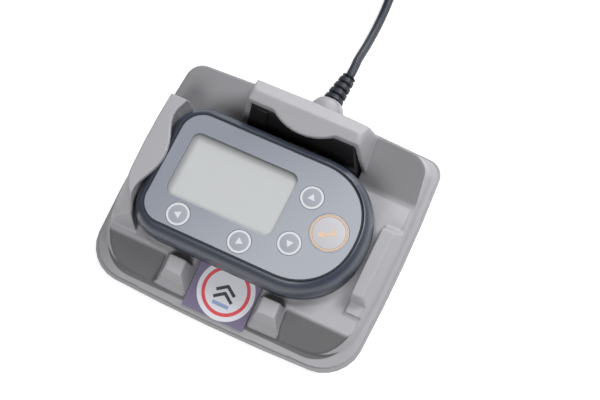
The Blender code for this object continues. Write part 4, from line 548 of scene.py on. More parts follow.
def tail_route(start, diameter):
    """The tail rounds the outside of the coil down to the table and runs on to the plug."""
    route = [start]
    low_z = diameter / 2 + TAIL_LIFT
    for step in range(1, TAIL_STEPS):
        share = step / (TAIL_STEPS - 1)
        angle = math.tau * TAIL_TURN_SHARE * share + diameter * 2 / COIL_OUTER_RADIUS
        out = min(1.0, share / TAIL_OUT_SHARE)
        down = min(1.0, max(0.0, (share - TAIL_OUT_SHARE / 2) / (1 - TAIL_OUT_SHARE)))
        radius = COIL_OUTER_RADIUS + TAIL_ROOM * out * out * (3 - 2 * out)
        height = start.z + (low_z - start.z) * down * down * (3 - 2 * down)
        route.append(Vector((COIL_CENTRE[0] + radius * math.cos(angle),
                             COIL_CENTRE[1] + radius * math.sin(angle), height)))
    return route + [COIL_CENTRE + Vector(point) for point in TAIL_POINTS]


def lead_points(diameter):
    """The whole lead: stretch, coil and tail on one smooth line."""
    tip = Vector(RELIEF_START) + RELIEF_DIRECTION * (RELIEF_NECK + RELIEF_LENGTH)
    start = tip + RELIEF_DIRECTION * SEAT_GAP
    coil = coil_points()
    lead = Vector((0.0, diameter, 0.0))
    middle_points = [OUTLET_PLACE + Vector(point) for point in CORD_ROUTE]
    route = [start, start + RELIEF_DIRECTION * diameter / 2, *middle_points]
    route += [coil[0] - lead * 1.5, coil[0] - lead]
    stretch = smooth_points(route, LEAD_STEP)
    tail_start = coil[-1] + lead
    tail = smooth_points(tail_route(tail_start, diameter), LEAD_STEP)
    return start, [*stretch, *coil, *tail]


def woven_jacket(name, color):
    """The lead's jacket: a fine spiral braid along the cord, slightly blue."""
    made, shader = new_material(name)
    place = add_node(made, "UVMap").outputs["UV"]
    along = add_node(made, "Mapping", {"Vector": place, "Scale": (900.0, 6.0, 1.0)}).outputs["Vector"]
    weave = add_node(made, "TexWave", {"Vector": along, "Scale": 1.0, "Distortion": 0.6}, wave_type="BANDS",
                     bands_direction="DIAGONAL").outputs["Fac"]
    feed(made, shader, {
        "Base Color": mixed_color(made, weave, shaded(color, 0.55), shaded(color, 1.9)),
        "Normal": relief(made, weave, 0.35, 0.2 * MM),
        "Roughness": 0.42,
    })
    return made


def make_lead():
    """One open curve with the lead's real length; it stands for the three solids of the lead."""
    values = look("lead_look")
    start, points = lead_points(values.diameter)
    data = bpy.data.curves.new("lead", "CURVE")
    data.dimensions = "3D"
    data.bevel_depth = values.diameter / 2
    data.bevel_resolution = 4
    data.use_fill_caps = True
    spline = data.splines.new("POLY")
    spline.points.add(len(points) - 1)
    for slot, point in zip(spline.points, points):
        slot.co = (*point, 1.0)
    spline.use_smooth = True
    lead = bpy.data.objects.new("lead", data)
    bpy.context.scene.collection.objects.link(lead)
    data.materials.append(woven_jacket("lead_jacket", values.cord_color))
    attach(lead, "cradle")
    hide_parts("cord_stretch", "cord_coil", "cord_tail")


class StageOperator(bpy.types.Operator):
    """Set the camera, the white floor and the lamps"""
    bl_idname = "recorder.make_stage"
    bl_label = "Stage"

    def execute(self, context):
        make_stage()
        return {"FINISHED"}


KEY_PLACE = (0.5, 0.5, 0.863)
REAR_PLACE = (0.0, 1.034, 0.396)
FILL_PLACE = (0.0, -0.707, 0.863)
LAMP_TARGET = (0.0, 0.0, 0.02)
LAMP_SIDE = 0.5
FLOOR_GLOW = 0.5
WHITE = (1.0, 1.0, 1.0, 1.0)


def white_floor():
    """White to the camera, in mirrors and through glass; for the rest a pale floor that takes the shadow."""
    made, shader = new_material("white_floor")
    path = add_node(made, "LightPath")
    glow = path.outputs["Is Camera Ray"]
    for ray in ("Is Glossy Ray", "Is Transmission Ray"):
        glow = calculate(made, "MAXIMUM", glow, path.outputs[ray])
    feed(made, shader, {
        "Base Color": (0.86, 0.86, 0.87, 1.0),
        "Roughness": 0.9,
        "Specular IOR Level": 0.1,
        "Emission Color": WHITE,
        "Emission Strength": product(made, glow, FLOOR_GLOW),
    })
    return made


def add_lamp(name, place, power):
    """A soft square lamp that looks at the recorder."""
    deselect()
    turn = (Vector(place) - Vector(LAMP_TARGET)).to_track_quat("Z", "Y").to_euler()
    bpy.ops.object.light_add(type="AREA", location=place, rotation=turn)
    lamp = bpy.context.object
    lamp.name = name
    lamp.data.shape = "SQUARE"
    lamp.data.size = LAMP_SIDE
    lamp.data.energy = power


def make_stage():
    """The camera, a white floor, three soft lamps and a faint white surround."""
    values = look("stage_look")
    scene = bpy.context.scene
    bpy.ops.object.camera_add(location=values.camera_place, rotation=values.camera_turn)
    camera = bpy.context.object
    camera.name = "camera"
    camera.data.lens = values.lens
    camera.data.sensor_width = 36.0
    camera.data.clip_start = 0.01
    scene.camera = camera
    deselect()
    bpy.ops.mesh.primitive_plane_add(size=values.floor_size)
    floor = added("floor")
    set_only(floor, white_floor())
    add_lamp("key_lamp", KEY_PLACE, values.key_power)
    add_lamp("rear_lamp", REAR_PLACE, values.rear_power)
    add_lamp("fill_lamp", FILL_PLACE, values.fill_power)
    world = bpy.data.worlds.new("surround")
    scene.world = world
    world.use_nodes = True
    feed(world, world.node_tree.nodes["Background"], {"Strength": values.surround, "Color": WHITE})
    scene.view_settings.view_transform = "Standard"


RECORDER_X = 1.0 * MM
RECORDER_Y = -3.025 * MM
RECORDER_LENGTH = 91.4 * MM
RECORDER_WIDTH = 56.9 * MM
FACE_Z = 30.0 * MM
PARTING_Z = 20.0 * MM
BOARD_TOP_Z = 25.6 * MM
OVERLAY_DEPTH = 0.8 * MM
PLATE = 1.3 * MM
KEY_GAP = 0.12 * MM
KEY_FLANGE = 0.5 * MM
KEY_FLANGE_HEIGHT = 0.9 * MM
LENS_GAP = Vector((0.15, 0.15, 0.0)) * MM
WINDOW_MARGIN = Vector((0.35, 0.35, 0.0)) * MM
POCKET_RADIUS = 3.9 * MM
LENS_RADIUS = 3.85 * MM
PANEL_RADIUS = 3.6 * MM
WINDOW_RADIUS = 3.5 * MM
# The edge between the rim and the overlay: how far it lies inside the rim, and its width and depth
RIM_EDGE_INSIDE = 0.22 * MM
RIM_EDGE = 0.12 * MM
# Length of the tools that cut round holes, more than any piece is thick
CUTTER = 4 * MM
# A bevel profile of 0.5 is a circle; this one gives the round end's power of 2.15
ROUND_END_PROFILE = 0.525
# Height above the parting line and the width that is left of the rim, both as shares
RIM_SHARES = ((0.2, 1.0), (0.42, 0.955), (0.62, 0.85), (0.78, 0.68), (0.9, 0.45), (0.975, 0.22), (1.0, 0.12))


class RecorderCaseOperator(bpy.types.Operator):
    """Make the recorder's rounded front case, its back case and its battery door"""
    bl_idname = "recorder.make_case"
    bl_label = "Recorder case"

    def execute(self, context):
        make_case()
        return {"FINISHED"}


def recorder_block(name, low_z, high_z, inside):
    """A block with the recorder's plan outline, drawn in: square at the left, round at the right."""
    values = look("recorder_look")
    half_length, half_width = RECORDER_LENGTH / 2 - inside, RECORDER_WIDTH / 2 - inside
    piece = add_block(name, (RECORDER_X - half_length, RECORDER_Y - half_width, low_z),
                      (RECORDER_X + half_length, RECORDER_Y + half_width, high_z))
    choose(piece, "edges", lambda edge: is_upright(edge) and edge_middle(edge).x > RECORDER_X)
    bevel_chosen(half_width - 0.3 * MM, 32, ROUND_END_PROFILE)
    leave(piece)
    square_end = RECORDER_X - half_length / 2
    choose(piece, "edges", lambda edge: is_upright(edge) and edge_middle(edge).x < square_end)
    bevel_chosen(values.square_radius - inside, 16)
    return leave(piece)


def make_case():
    """The front case is a block whose top face is inset step by step along the rim's round profile."""
    values = look("recorder_look")
    finish = plastic("case_plastic", values.case_color, roughness=0.36, depth=0.1, coat=0.15)
    case = recorder_block("recorder_rim", PARTING_Z + SEAT_GAP, PARTING_Z + 2 * MM, 0.0)
    rise = FACE_Z - PARTING_Z - 2 * MM
    knots = [Vector((share * values.rim_round, (up - 0.2) / 0.8 * rise, 0.0)) for up, share in RIM_SHARES]
    profile = smooth_points(knots, 0.4 * MM)
    choose(case, "faces", lambda face: face.normal.z > 0.9)
    for before, after in zip(profile, profile[1:]):
        bpy.ops.mesh.inset(thickness=before.x - after.x, depth=after.y - before.y)
    bpy.ops.mesh.inset(thickness=profile[-1].x - RIM_EDGE_INSIDE, depth=0.0)
    bpy.ops.mesh.inset(thickness=RIM_EDGE, depth=-RIM_EDGE)
    bpy.ops.mesh.inset(thickness=0.02 * MM, depth=RIM_EDGE - OVERLAY_DEPTH)
    leave(case)
    hollow = recorder_block("case_hollow", PARTING_Z - MM, BOARD_TOP_Z, values.wall)
    choose(hollow, "faces", lambda face: face.normal.z > 0.9)
    bpy.ops.mesh.inset(thickness=values.wall, depth=FACE_Z - OVERLAY_DEPTH - PLATE - BOARD_TOP_Z)
    cut_with(case, leave(hollow))
    low, high = corners("display_lens")
    cut_with(case, rounded_block("lens_pocket", low - LENS_GAP, high + LENS_GAP, POCKET_RADIUS,
                                 PARTING_Z + 4 * MM, FACE_Z))
    for node in KEY_NODES:
        place, radius = key_place(node)
        spot = (place.x, place.y, FACE_Z - 1.5 * MM)
        cut_with(case, add_cylinder("key_hole", spot, radius + 0.2 * MM, CUTTER, 64))
    clean(case)
    settle(case, "recorder", finish, "case_blue", "recorder_front_case")
    # The back case is coloured darker than the front case as painted shade under the rim
    tray_with_painted_shade = plastic("tray_plastic", values.tray_painted_shade_color)
    dress("recorder_back_case", "recorder_tray", "recorder", tray_with_painted_shade, "case_blue")
    dress("battery_door", "door_panel", "door", finish, "case_blue")


def rounded_block(name, low, high, radius, low_z, high_z, segments=10):
    """A block with rounded upright edges over the plan of two corners."""
    piece = add_block(name, (low.x, low.y, low_z), (high.x, high.y, high_z))
    choose(piece, "edges", is_upright)
    bevel_chosen(radius, segments)
    return leave(piece)


def key_place(node):
    """The middle of a key and the radius of its cap, which is its flange's radius less the flange."""
    low, high = corners(node)
    return (low + high) / 2, (high.x - low.x) / 2 - KEY_FLANGE


class FaceOperator(bpy.types.Operator):
    """Make the printed overlay, the black gasket line, the display and its window"""
    bl_idname = "recorder.make_face"
    bl_label = "Face and display"

    def execute(self, context):
        make_face()
        return {"FINISHED"}


def film_with_painted_reflection():
    """Satin film in slate with a painted reflection that makes it paler towards the front of the round end."""
    values = look("recorder_look")
    made = plastic("overlay_film", values.overlay_color, 0.42, 4200.0, 0.05, 0.02, 0.2)
    nodes = made.node_tree.nodes
    along = add_node(made, "VectorMath", {0: nodes["place"].outputs["Object"], 1: (0.82, -0.57, 0.0)},
                     operation="DOT_PRODUCT")
    # Painted reflection: the film turns from its own colour to a paler one across the face
    share = smooth_range(made, along.outputs["Value"], -30.0 * MM, 34.0 * MM)
    feed(made, nodes["tint"], {"A": mixed_color(made, share, values.overlay_color, values.overlay_painted_reflection_color)})
    return made


def make_face():
    """The overlay is a thin block with the recorder's outline, cut for the window and the keys."""
    values = look("recorder_look")
    low, high = corners("face_overlay")
    inside = (RECORDER_WIDTH - (high.y - low.y)) / 2
    overlay = recorder_block("printed_overlay", low.z, high.z, inside)
    low, high = corners("display_lens")
    window = rounded_block("window", low + WINDOW_MARGIN, high - WINDOW_MARGIN, WINDOW_RADIUS,
                           FACE_Z - 2 * MM, FACE_Z + MM)
    cut_with(overlay, window)
    for node in KEY_NODES:
        place, radius = key_place(node)
        cut_with(overlay, add_cylinder("hole", (place.x, place.y, FACE_Z), radius + KEY_GAP, CUTTER))
    clean(overlay)
    apply_modifier(overlay, "BEVEL", width=0.12 * MM, segments=2, limit_method="ANGLE",
                   angle_limit=math.radians(50))
    settle(overlay, "recorder", film_with_painted_reflection(), "overlay_grey", "face_overlay", degrees=20.0)
    rubber = plastic("gasket_rubber", srgb(38, 42, 50), 0.6)
    dress("face_gasket", "gasket_line", "recorder", rubber, "dark_rubber")
    low, high = corners("display_lens")
    lens = rounded_block("window_lens", low, high, LENS_RADIUS, low.z, high.z)
    settle(lens, "recorder", window_finish(), "display_lens", "display_lens")
    low, high = corners("display_panel")
    panel = rounded_block("display_glass", low, high, PANEL_RADIUS, low.z, high.z)
    settle(panel, "recorder", display_painted_shadow_and_highlight(values.display_color), "display_panel", "display_panel")


def window_finish():
    """Clear window, slightly matt, with faint wipe marks in its gloss."""
    made, shader = new_material("window_clear")
    marks = noise(made, object_place(made), 90.0, 6.0)
    feed(made, shader, {"Roughness": spread(made, marks, 0.1, 0.24), "Base Color": (0.9, 0.92, 0.94, 1.0),
                        "Alpha": 0.12})
    return made


# Width of the painted highlight along the display's front and right edges, and how much brighter it is
HIGHLIGHT_LINE = 1.1 * MM
HIGHLIGHT_SHARE = 1.3


def display_painted_shadow_and_highlight(color):
    """Unlit display: the faint grid of its cells, with painted shadow of the window's recess towards the left
    and rear, and a painted highlight at the other edges.
    """
    made, shader = new_material("display_surface")
    place = object_place(made)
    cells = add_node(made, "TexBrick", {
        "Vector": place, "Scale": 1000.0, "Brick Width": 0.34, "Row Height": 0.34, "Mortar Size": 0.02,
        "Color1": color, "Color2": shaded(color, 0.985), "Mortar": shaded(color, 0.94)}, offset=0.0)
    spot = add_node(made, "SeparateXYZ", {"Vector": place}).outputs
    low, high = corners("display_panel")
    # Painted shadow of the recess walls along the left and rear edges
    left = smooth_range(made, spot["X"], low.x + 0.3 * MM, low.x + 3.6 * MM, 0.3, 1.0)
    rear = smooth_range(made, spot["Y"], high.y - 3.8 * MM, high.y - 0.3 * MM, 1.0, 0.26)
    # Painted highlight along the right and front edges
    right = smooth_range(made, spot["X"], high.x - HIGHLIGHT_LINE, high.x - HIGHLIGHT_LINE / 2, 1.0, HIGHLIGHT_SHARE)
    front = smooth_range(made, spot["Y"], low.y + HIGHLIGHT_LINE / 2, low.y + HIGHLIGHT_LINE, HIGHLIGHT_SHARE, 1.0)
    shade = product(made, left, rear, right, front)
    feed(made, shader, {"Base Color": tinted(made, cells.outputs["Color"], shade), "Roughness": 0.35})
    return made


class KeysOperator(bpy.types.Operator):
    """Make the four arrow keys and the large return key with their raised print"""
    bl_idname = "recorder.make_keys"
    bl_label = "Keys"

    def execute(self, context):
        make_keys()
        return {"FINISHED"}


def ring_piece(name, place, radius, width, low_z, high_z):
    """A flat ring round a place."""
    centre = (place.x, place.y, (low_z + high_z) / 2)
    piece = add_cylinder(name, centre, radius + width / 2, high_z - low_z)
    cut_with(piece, add_cylinder("bore", centre, radius - width / 2, CUTTER))
    return piece


def arrow_head(name, place, degrees, radius, low_z, high_z):
    """A flat triangle that points along an angle."""
    return add_cylinder(name, (place.x, place.y, (low_z + high_z) / 2), radius, high_z - low_z, sides=3,
                        turn=(0.0, 0.0, math.radians(degrees) - math.pi / 2))


def join(first, *others):
    """Join pieces into the first one."""
    deselect()
    for piece in (first, *others):
        piece.select_set(True)
    bpy.context.view_layer.objects.active = first
    bpy.ops.object.join()
    return first


PRINT_LINE = 0.24 * MM
ARROW_RADIUS = 1.75 * MM
RETURN_TURN = 26.0
RETURN_BAR = 1.1 * MM
RETURN_REACH = 2.8 * MM
RETURN_RISE = 1.8 * MM
RETURN_HEAD = 1.9 * MM


def return_arrow(name, place, low_z, high_z):
    """The return sign: a bar to the left with its head, and a short bar up at the right end."""
    angle = math.radians(RETURN_TURN)
    height, depth = (low_z + high_z) / 2, high_z - low_z

    def turned(x, y):
        return Vector((place.x + x * math.cos(angle) - y * math.sin(angle),
                       place.y + x * math.sin(angle) + y * math.cos(angle), height))

    def bar(x, y, length, width):
        return add_bar(name, turned(x, y), (length, width, depth), (0.0, 0.0, angle))

    low_y = -RETURN_RISE / 3
    across = bar(RETURN_BAR / 2, low_y, 2 * RETURN_REACH - RETURN_BAR, RETURN_BAR)
    up = bar(RETURN_REACH - RETURN_BAR / 2, low_y + RETURN_RISE / 2, RETURN_BAR, RETURN_RISE)
    cut_with(across, up, "UNION")
    head = arrow_head(name, turned(-RETURN_REACH, low_y), 180.0 + RETURN_TURN, RETURN_HEAD, low_z, high_z)
    cut_with(across, head, "UNION")
    return across


def make_keys():
    """Each key is a cap with a rounded edge; its ring and sign stand a hair above it and move with it."""
    values = look("recorder_look")
    cap_finish = plastic("key_cap", values.cap_color, 0.42, 4200.0, 0.05, 0.02)
    enter_cap = plastic("enter_cap", values.enter_cap_color, 0.42, 4200.0, 0.05, 0.02)
    white = plastic("key_print", values.print_color, 0.5, 5000.0, 0.04, 0.04)
    amber = plastic("enter_print", values.enter_color, 0.5, 5000.0, 0.04)
    brown = plastic("print_outline", srgb(92, 66, 52), 0.55, 5000.0, 0.03)
    for node in KEY_NODES:
        place, radius = key_place(node)
        low, high = corners(node)
        enter = node == "key_enter"
        body = node.replace("key_", "") + "_key"
        cap = add_cylinder(node.replace("key_", "cap_"), (place.x, place.y, (low.z + high.z) / 2), radius,
                           high.z - low.z)
        flange = add_cylinder("flange", (place.x, place.y, low.z + KEY_FLANGE_HEIGHT / 2), radius + KEY_FLANGE,
                              KEY_FLANGE_HEIGHT)
        cut_with(cap, flange, "UNION")
        choose(cap, "edges", lambda edge: min(edge.verts[0].co.z, edge.verts[1].co.z) > high.z - 0.01 * MM)
        bevel_chosen(0.15 * MM, 3)
        leave(cap)
        settle(cap, body, enter_cap if enter else cap_finish, "key_grey", node)
        top = high.z
        step = values.print_height / 2
        mid = values.enter_ring_radius if enter else values.ring_radius
        dark = ring_piece(f"{node}_line", place, mid, values.ring_width + PRINT_LINE, top - step, top + step)
        bright = ring_piece(f"{node}_ring", place, mid, values.ring_width, top - step, top + 2 * step)
        if enter:
            sign = return_arrow(f"{node}_sign", place, top - step, top + 2 * step)
        else:
            sign = arrow_head(f"{node}_sign", place, KEY_TURNS[node], ARROW_RADIUS, top - step, top + 2 * step)
        settle(dark, body, brown if enter else white, "key_grey")
        settle(join(bright, sign), body, amber if enter else white, "key_grey")


# Painted shade and painted light as shares of the shell's colour: decks, the extra shade to the right, ramps,
# and the lighter floor
DECK_PAINTED_SHADE = 0.74
RIGHT_PAINTED_SHADE = 0.76
RAMP_PAINTED_SHADE = 0.33
FLOOR_PAINTED_LIGHT = 1.22
# The straight part of the outline inside the skirt, which bounds the painted shade; high enough that height
# never counts
INNER_BOX = (38.5 * MM, 31.5 * MM, 1.0)


class CradleOperator(bpy.types.Operator):
    """Make the cradle's moulded shell, base, contact block and rubber feet"""
    bl_idname = "recorder.make_cradle"
    bl_label = "Cradle"

    def execute(self, context):
        make_cradle()
        return {"FINISHED"}


def shell_plastic_with_painted_shade(color):
    """Grey plastic with painted shade on the low level faces: darker decks and ramps, darker still to the
    right, and painted light on the floor between them.
    """
    made = plastic("cradle_plastic", color, 0.5, 2400.0, 0.16, 0.04)
    place, tint = (made.node_tree.nodes[name] for name in ("place", "tint"))
    spot = add_node(made, "SeparateXYZ", {"Vector": place.outputs["Object"]}).outputs
    facing = add_node(made, "SeparateXYZ", {"Vector": place.outputs["Normal"]}).outputs
    reach = place.outputs["Object"]
    for operation, value in (("ABSOLUTE", (0, 0, 0)), ("SUBTRACT", INNER_BOX), ("MAXIMUM", (0, 0, 0))):
        reach = add_node(made, "VectorMath", {0: reach, 1: value}, operation=operation).outputs["Vector"]
    length = add_node(made, "VectorMath", {0: reach}, operation="LENGTH").outputs["Value"]
    inside_skirt = smooth_range(made, length, 14.8 * MM, 15.4 * MM, 1.0, 0.0)
    above_base = smooth_range(made, spot["Z"], 11.0 * MM, 12.0 * MM)
    low = smooth_range(made, spot["Z"], 18.0 * MM, 19.5 * MM, 1.0, 0.0)
    level = smooth_range(made, facing["Z"], 0.5, 0.7)
    right = smooth_range(made, spot["X"], 0.0, 20.0 * MM, 1.0, RIGHT_PAINTED_SHADE)
    on_floor = smooth_range(made, spot["Z"], 10.0 * MM, 10.9 * MM)
    rear = smooth_range(made, spot["Y"], 23.7 * MM, 24.5 * MM)
    # Painted shade on the ramps and decks, stronger to the right, and painted light on the floor, on low level
    # faces inside the skirt
    front_painted_shade_and_light = mixed(made, on_floor, product(made, right, RAMP_PAINTED_SHADE), FLOOR_PAINTED_LIGHT)
    shade = mixed(made, rear, front_painted_shade_and_light, product(made, right, DECK_PAINTED_SHADE))
    where = product(made, low, level, mixed(made, rear, inside_skirt, above_base))
    cloud = tint.inputs["B"].links[0].from_socket
    feed(made, tint, {"B": product(made, cloud, mixed(made, where, 1.0, shade))})
    return made


def make_cradle():
    """The shell is the packed solid remeshed at a fine grain, so that each edge gets a moulded radius."""
    values = look("cradle_look")
    finish = shell_plastic_with_painted_shade(values.shell_color)
    shell = copy_of("dock_shell", "moulded_shell")
    apply_modifier(shell, "REMESH", mode="VOXEL", voxel_size=values.grain, adaptivity=0.0)
    apply_modifier(shell, "SMOOTH", factor=0.5, iterations=4)
    apply_modifier(shell, "DECIMATE", decimate_type="COLLAPSE", ratio=0.35)
    settle(shell, "cradle", finish, "cradle_grey", "dock_shell", degrees=55.0)
    base_finish = plastic("base_plastic", values.base_color, 0.55)
    dress("base_plate", "moulded_base", "cradle", base_finish, "base_grey", 0.3 * MM)
    block_finish = plastic("block_plastic", values.block_color, 0.32, coat=0.2)
    dress("contact_block", "moulded_block", "cradle", block_finish, "chip_black", 0.3 * MM)
    rubber = plastic("foot_rubber", srgb(40, 40, 42), 0.75, 1800.0, 0.2)
    for index in range(1, 5):
        dress(f"rubber_foot_{index}", f"foot_pad_{index}", "cradle", rubber, "dark_rubber", 0.25 * MM, 3)


class LabelOperator(bpy.types.Operator):
    """Make the plate in the channel and its plain round sign"""
    bl_idname = "recorder.make_label"
    bl_label = "Label"

    def execute(self, context):
        make_label()
        return {"FINISHED"}


SIGN_PLACE = (1.2 * MM, -36.6 * MM, 8.0 * MM)
# Across, up and turn in degrees of the bars of the two chevrons, and the bars' size
SIGN_BARS = ((-1.9, 0.9, 35.0), (1.9, 0.9, -35.0), (-1.9, -2.1, 35.0), (1.9, -2.1, -35.0))
SIGN_BAR_SIZE = (5.2, 1.3)
SIGN_STRIPE = (0.0, -5.6, 0.0, 7.0, 1.5)
# Outer and inner radius of the sign's ring as shares of the sign's radius
SIGN_RING = (0.84, 0.72)


def make_label():
    """The plate follows the channel's slope; on it a pale disc with a ring, two chevrons and a pale bar."""
    values = look("cradle_look")
    film = plastic("label_film", values.label_color, 0.5, 4000.0, 0.05)
    plate = dress("label_plate", "channel_plate", "cradle", film, "label_grey")
    normals = [(face.area, face.normal.copy(), face.center.copy()) for face in plate.data.polygons
               if face.normal.z > 0.7]
    normal = max(normals, key=lambda entry: entry[0])[1]
    along = Vector((1.0, 0.0, 0.0))
    up = normal.cross(along)
    centre = Vector(SIGN_PLACE)
    top = max(entry[2].dot(normal) for entry in normals)
    centre += normal * (top - centre.dot(normal))
    turn = Matrix((along, up, normal)).transposed().to_euler()
    sheet = 0.05 * MM

    def place_on_plate(piece, name, color):
        settle(piece, "cradle", plastic(name, color, 0.45, 4000.0, 0.04), "label_grey")

    def disc(name, radius, lift, thick=sheet):
        return add_cylinder(name, centre + normal * (lift + thick / 2), radius, thick, turn=turn)

    def bar(name, across, rise, degrees, length, width):
        spin = turn.to_matrix() @ Matrix.Rotation(math.radians(degrees), 3, "Z")
        spot = centre + (along * across + up * rise) * MM + normal * sheet
        return add_bar(name, spot, (length * MM, width * MM, sheet), spin.to_euler())

    radius = values.sign_radius
    place_on_plate(disc("round_sign", radius, 0.0), "sign_disc", values.sign_color)
    ring = disc("round_sign_ring", radius * SIGN_RING[0], sheet * 0.5)
    cut_with(ring, disc("bore", radius * SIGN_RING[1], -MM, 2 * MM))
    place_on_plate(ring, "sign_ring", values.sign_ring_color)
    chevrons = bar("round_sign_chevrons", *SIGN_BARS[0], *SIGN_BAR_SIZE)
    for place_of_bar in SIGN_BARS[1:]:
        cut_with(chevrons, bar("chevron", *place_of_bar, *SIGN_BAR_SIZE), "UNION")
    place_on_plate(chevrons, "sign_dark", srgb(52, 50, 66))
    place_on_plate(bar("round_sign_stripe", *SIGN_STRIPE), "sign_blue", srgb(150, 168, 205))


class FittingsOperator(bpy.types.Operator):
    """Finish the screws, contacts, boards, cell, spring and socket of both devices"""
    bl_idname = "recorder.make_fittings"
    bl_label = "Fittings"

    def execute(self, context):
        make_fittings()
        return {"FINISHED"}


STEEL = (0.62, 0.62, 0.64, 1.0)
FITTINGS = {
    "bright_steel": ("battery_plate", "battery_spring", "dome"),
    "gold_contact": ("contact_pad", "contact_pin", "socket_blade"),
    "circuit_board": ("main_board", "dock_board"),
    "chip_black": ("processor_chip", "dock_chip", "lead_header", "lead_socket"),
}
SHARP_FITTINGS = ("dome", "battery_spring", "contact_pin")


def board_finish():
    """Solder mask with the faint relief of its tracks."""
    made, shader = new_material("solder_mask")
    tracks = add_node(made, "TexBrick", {"Vector": object_place(made), "Scale": 420.0, "Mortar Size": 0.05,
                                         "Color1": srgb(20, 92, 52), "Color2": srgb(18, 84, 47),
                                         "Mortar": srgb(32, 116, 66)})
    feed(made, shader, {"Base Color": tracks.outputs["Color"], "Roughness": 0.3})
    return made


def cell_finish():
    """Printed sleeve of a cell: a dark body with a copper band at its plus end."""
    made, shader = new_material("cell_sleeve")
    low, high = corners("battery_cell")
    along = add_node(made, "SeparateXYZ", {"Vector": object_place(made)}).outputs["Y"]
    band = calculate(made, "LESS_THAN", along, low.y + (high.y - low.y) * 0.3)
    feed(made, shader, {"Base Color": mixed_color(made, band, srgb(34, 36, 40), srgb(186, 118, 66)),
                        "Metallic": 0.6, "Roughness": 0.3})
    return made


def make_fittings():
    """Small pieces keep their packed shape; all but the sprung ones get softened edges."""
    finishes = {
        "bright_steel": metal("nickel_steel", STEEL, 0.3),
        "gold_contact": metal("gold_plate", (0.85, 0.6, 0.24, 1.0), 0.22),
        "circuit_board": board_finish(),
        "chip_black": plastic("chip_resin", srgb(30, 30, 32), 0.5, 3000.0, 0.1),
    }
    for slot_name, starts in FITTINGS.items():
        for node in frame["nodes"]:
            if node.startswith(starts):
                width = 0.0 if node.startswith(SHARP_FITTINGS) else 0.08 * MM
                dress(node, f"{node}_made", frame_body(node), finishes[slot_name], slot_name, width)
    for node in frame["nodes"]:
        if "screw" in node:
            make_screw(node, finishes["bright_steel"])
    dress("battery_cell", "cell_made", "recorder", cell_finish(), "cell_jacket")


def frame_body(node):
    """The body that a node belongs to."""
    for body, members in frame["record"]["behaviour"]["bodies"].items():
        if node in members:
            return body
    raise ValueError(f"no body holds {node}")


def make_screw(node, finish):
    """A screw with a rounded head edge and a cross recess in the head, which faces down."""
    piece = softened_copy(node, f"{node}_made", 0.12 * MM)
    low, high = corners(node)
    place = (low + high) / 2
    reach = (high.x - low.x) * 0.3
    slot = 0.22 * MM
    for wide, deep in ((reach, slot), (slot, reach)):
        cut_with(piece, add_block("recess", (place.x - wide, place.y - deep, low.z - MM),
                                  (place.x + wide, place.y + deep, low.z + 0.5 * MM)))
    settle(piece, frame_body(node), finish, "bright_steel", node)


class LeadEndsOperator(bpy.types.Operator):
    """Make the grooved strain relief, the tie round the wound lead and the flat plug"""
    bl_idname = "recorder.make_lead_ends"
    bl_label = "Strain relief, tie and plug"

    def execute(self, context):
        make_lead_ends()
        return {"FINISHED"}


RELIEF_FLANGE_RADIUS = 3.6 * MM
RELIEF_NECK_RADIUS = 2.6 * MM
RELIEF_RADIUS = 4.25 * MM
RELIEF_TIP_RADIUS = 3.05 * MM
RELIEF_GROOVES = 4
RELIEF_GROOVE_DEPTH = 1.1 * MM
# Along one groove's share of the sleeve, and the share of the depth there
RELIEF_GROOVE_SHAPE = (
    (0.08, 0.0), (0.52, 0.0), (0.6, 0.3), (0.64, 1.0), (0.86, 1.0), (0.9, 0.3), (0.99, 0.05),
)


def relief_profile():
    """Along and radius: flange, neck, then the tapered sleeve with its grooves."""
    flange = 1.5 * MM
    profile = [(-flange, RELIEF_FLANGE_RADIUS), (-0.01 * MM, RELIEF_FLANGE_RADIUS), (0.0, RELIEF_NECK_RADIUS),
               (RELIEF_NECK - 0.1 * MM, RELIEF_NECK_RADIUS), (RELIEF_NECK, RELIEF_RADIUS - 0.3 * MM)]
    for groove in range(RELIEF_GROOVES):
        for along, depth in RELIEF_GROOVE_SHAPE:
            share = (groove + along) / RELIEF_GROOVES
            radius = RELIEF_RADIUS + (RELIEF_TIP_RADIUS - RELIEF_RADIUS) * share
            profile.append((RELIEF_NECK + RELIEF_LENGTH * share, radius - RELIEF_GROOVE_DEPTH * depth))
    profile.append((RELIEF_NECK + RELIEF_LENGTH - 0.1 * MM, RELIEF_TIP_RADIUS - 0.1 * MM))
    profile.append((RELIEF_NECK + RELIEF_LENGTH, RELIEF_TIP_RADIUS - 0.3 * MM))
    return profile


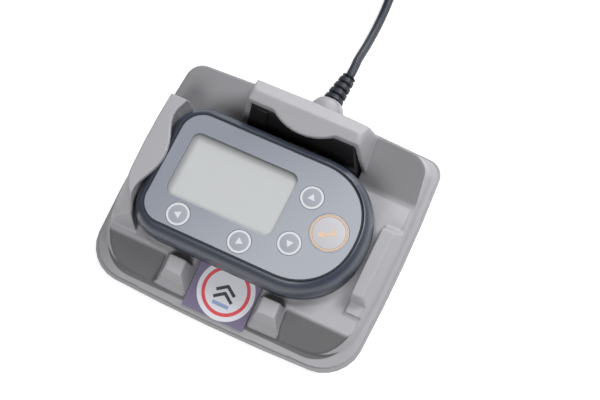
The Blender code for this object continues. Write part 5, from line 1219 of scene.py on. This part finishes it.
def make_lead_ends():
    """The relief is turned along the lead's own direction; the tie and the plug keep their packed places."""
    values = look("lead_look")
    rubber = plastic("relief_rubber", values.cord_color, 0.5, 2600.0, 0.12)
    sleeve = turned_by_hand("grooved_relief", RELIEF_START, RELIEF_DIRECTION, relief_profile(), 48)
    settle(sleeve, "cradle", rubber, "cord_black", "strain_relief", degrees=40.0)
    tie_finish = plastic("tie_rubber", srgb(34, 35, 38), 0.6)
    dress("coil_tie", "lead_tie", "cradle", tie_finish, "dark_rubber")
    dress("plug_body", "plug_grip", "cradle", rubber, "cord_black", 0.25 * MM)
    dress("plug_shell", "plug_mouth", "cradle", metal("plug_steel", STEEL, 0.3), "bright_steel")
    dress("plug_tongue", "plug_blade", "cradle", plastic("plug_resin", srgb(236, 236, 232)), "chip_black")


class RecorderPanel(bpy.types.Panel):
    """Buttons and values for the recorder, its cradle and its lead"""
    bl_idname = "VIEW3D_PT_recorder"
    bl_label = "Heart recorder"
    bl_space_type = "VIEW_3D"
    bl_region_type = "UI"
    bl_category = "Recorder"

    def draw(self, context):
        for operator in OPERATORS:
            self.layout.operator(operator.bl_idname)
        for group, kind in GROUPS.items():
            box = self.layout.box()
            box.label(text=kind.__doc__)
            for name in kind.__annotations__:
                box.prop(getattr(context.scene, group), name)


GROUPS = {
    "recorder_look": RecorderLook,
    "cradle_look": CradleLook,
    "lead_look": LeadLook,
    "stage_look": StageLook,
}
OPERATORS = (
    StageOperator, LeadEndsOperator, LeadOperator, RecorderCaseOperator, FaceOperator, KeysOperator,
    CradleOperator, LabelOperator, FittingsOperator,
)


def register():
    """Register the values, the operators and the panel."""
    for name, kind in GROUPS.items():
        bpy.utils.register_class(kind)
        setattr(bpy.types.Scene, name, bpy.props.PointerProperty(type=kind))
    for kind in (*OPERATORS, RecorderPanel):
        bpy.utils.register_class(kind)


def unregister():
    """Take them out again."""
    for kind in (RecorderPanel, *reversed(OPERATORS)):
        bpy.utils.unregister_class(kind)
    for name, kind in reversed(GROUPS.items()):
        delattr(bpy.types.Scene, name)
        bpy.utils.unregister_class(kind)


def main():
    """Make everything in order."""
    register()
    bpy.ops.recorder.make_stage()
    bpy.ops.recorder.make_lead_ends()
    bpy.ops.recorder.make_lead()
    bpy.ops.recorder.make_case()
    bpy.ops.recorder.make_face()
    bpy.ops.recorder.make_keys()
    bpy.ops.recorder.make_cradle()
    bpy.ops.recorder.make_label()
    bpy.ops.recorder.make_fittings()


if __name__ == "__main__":
    main()
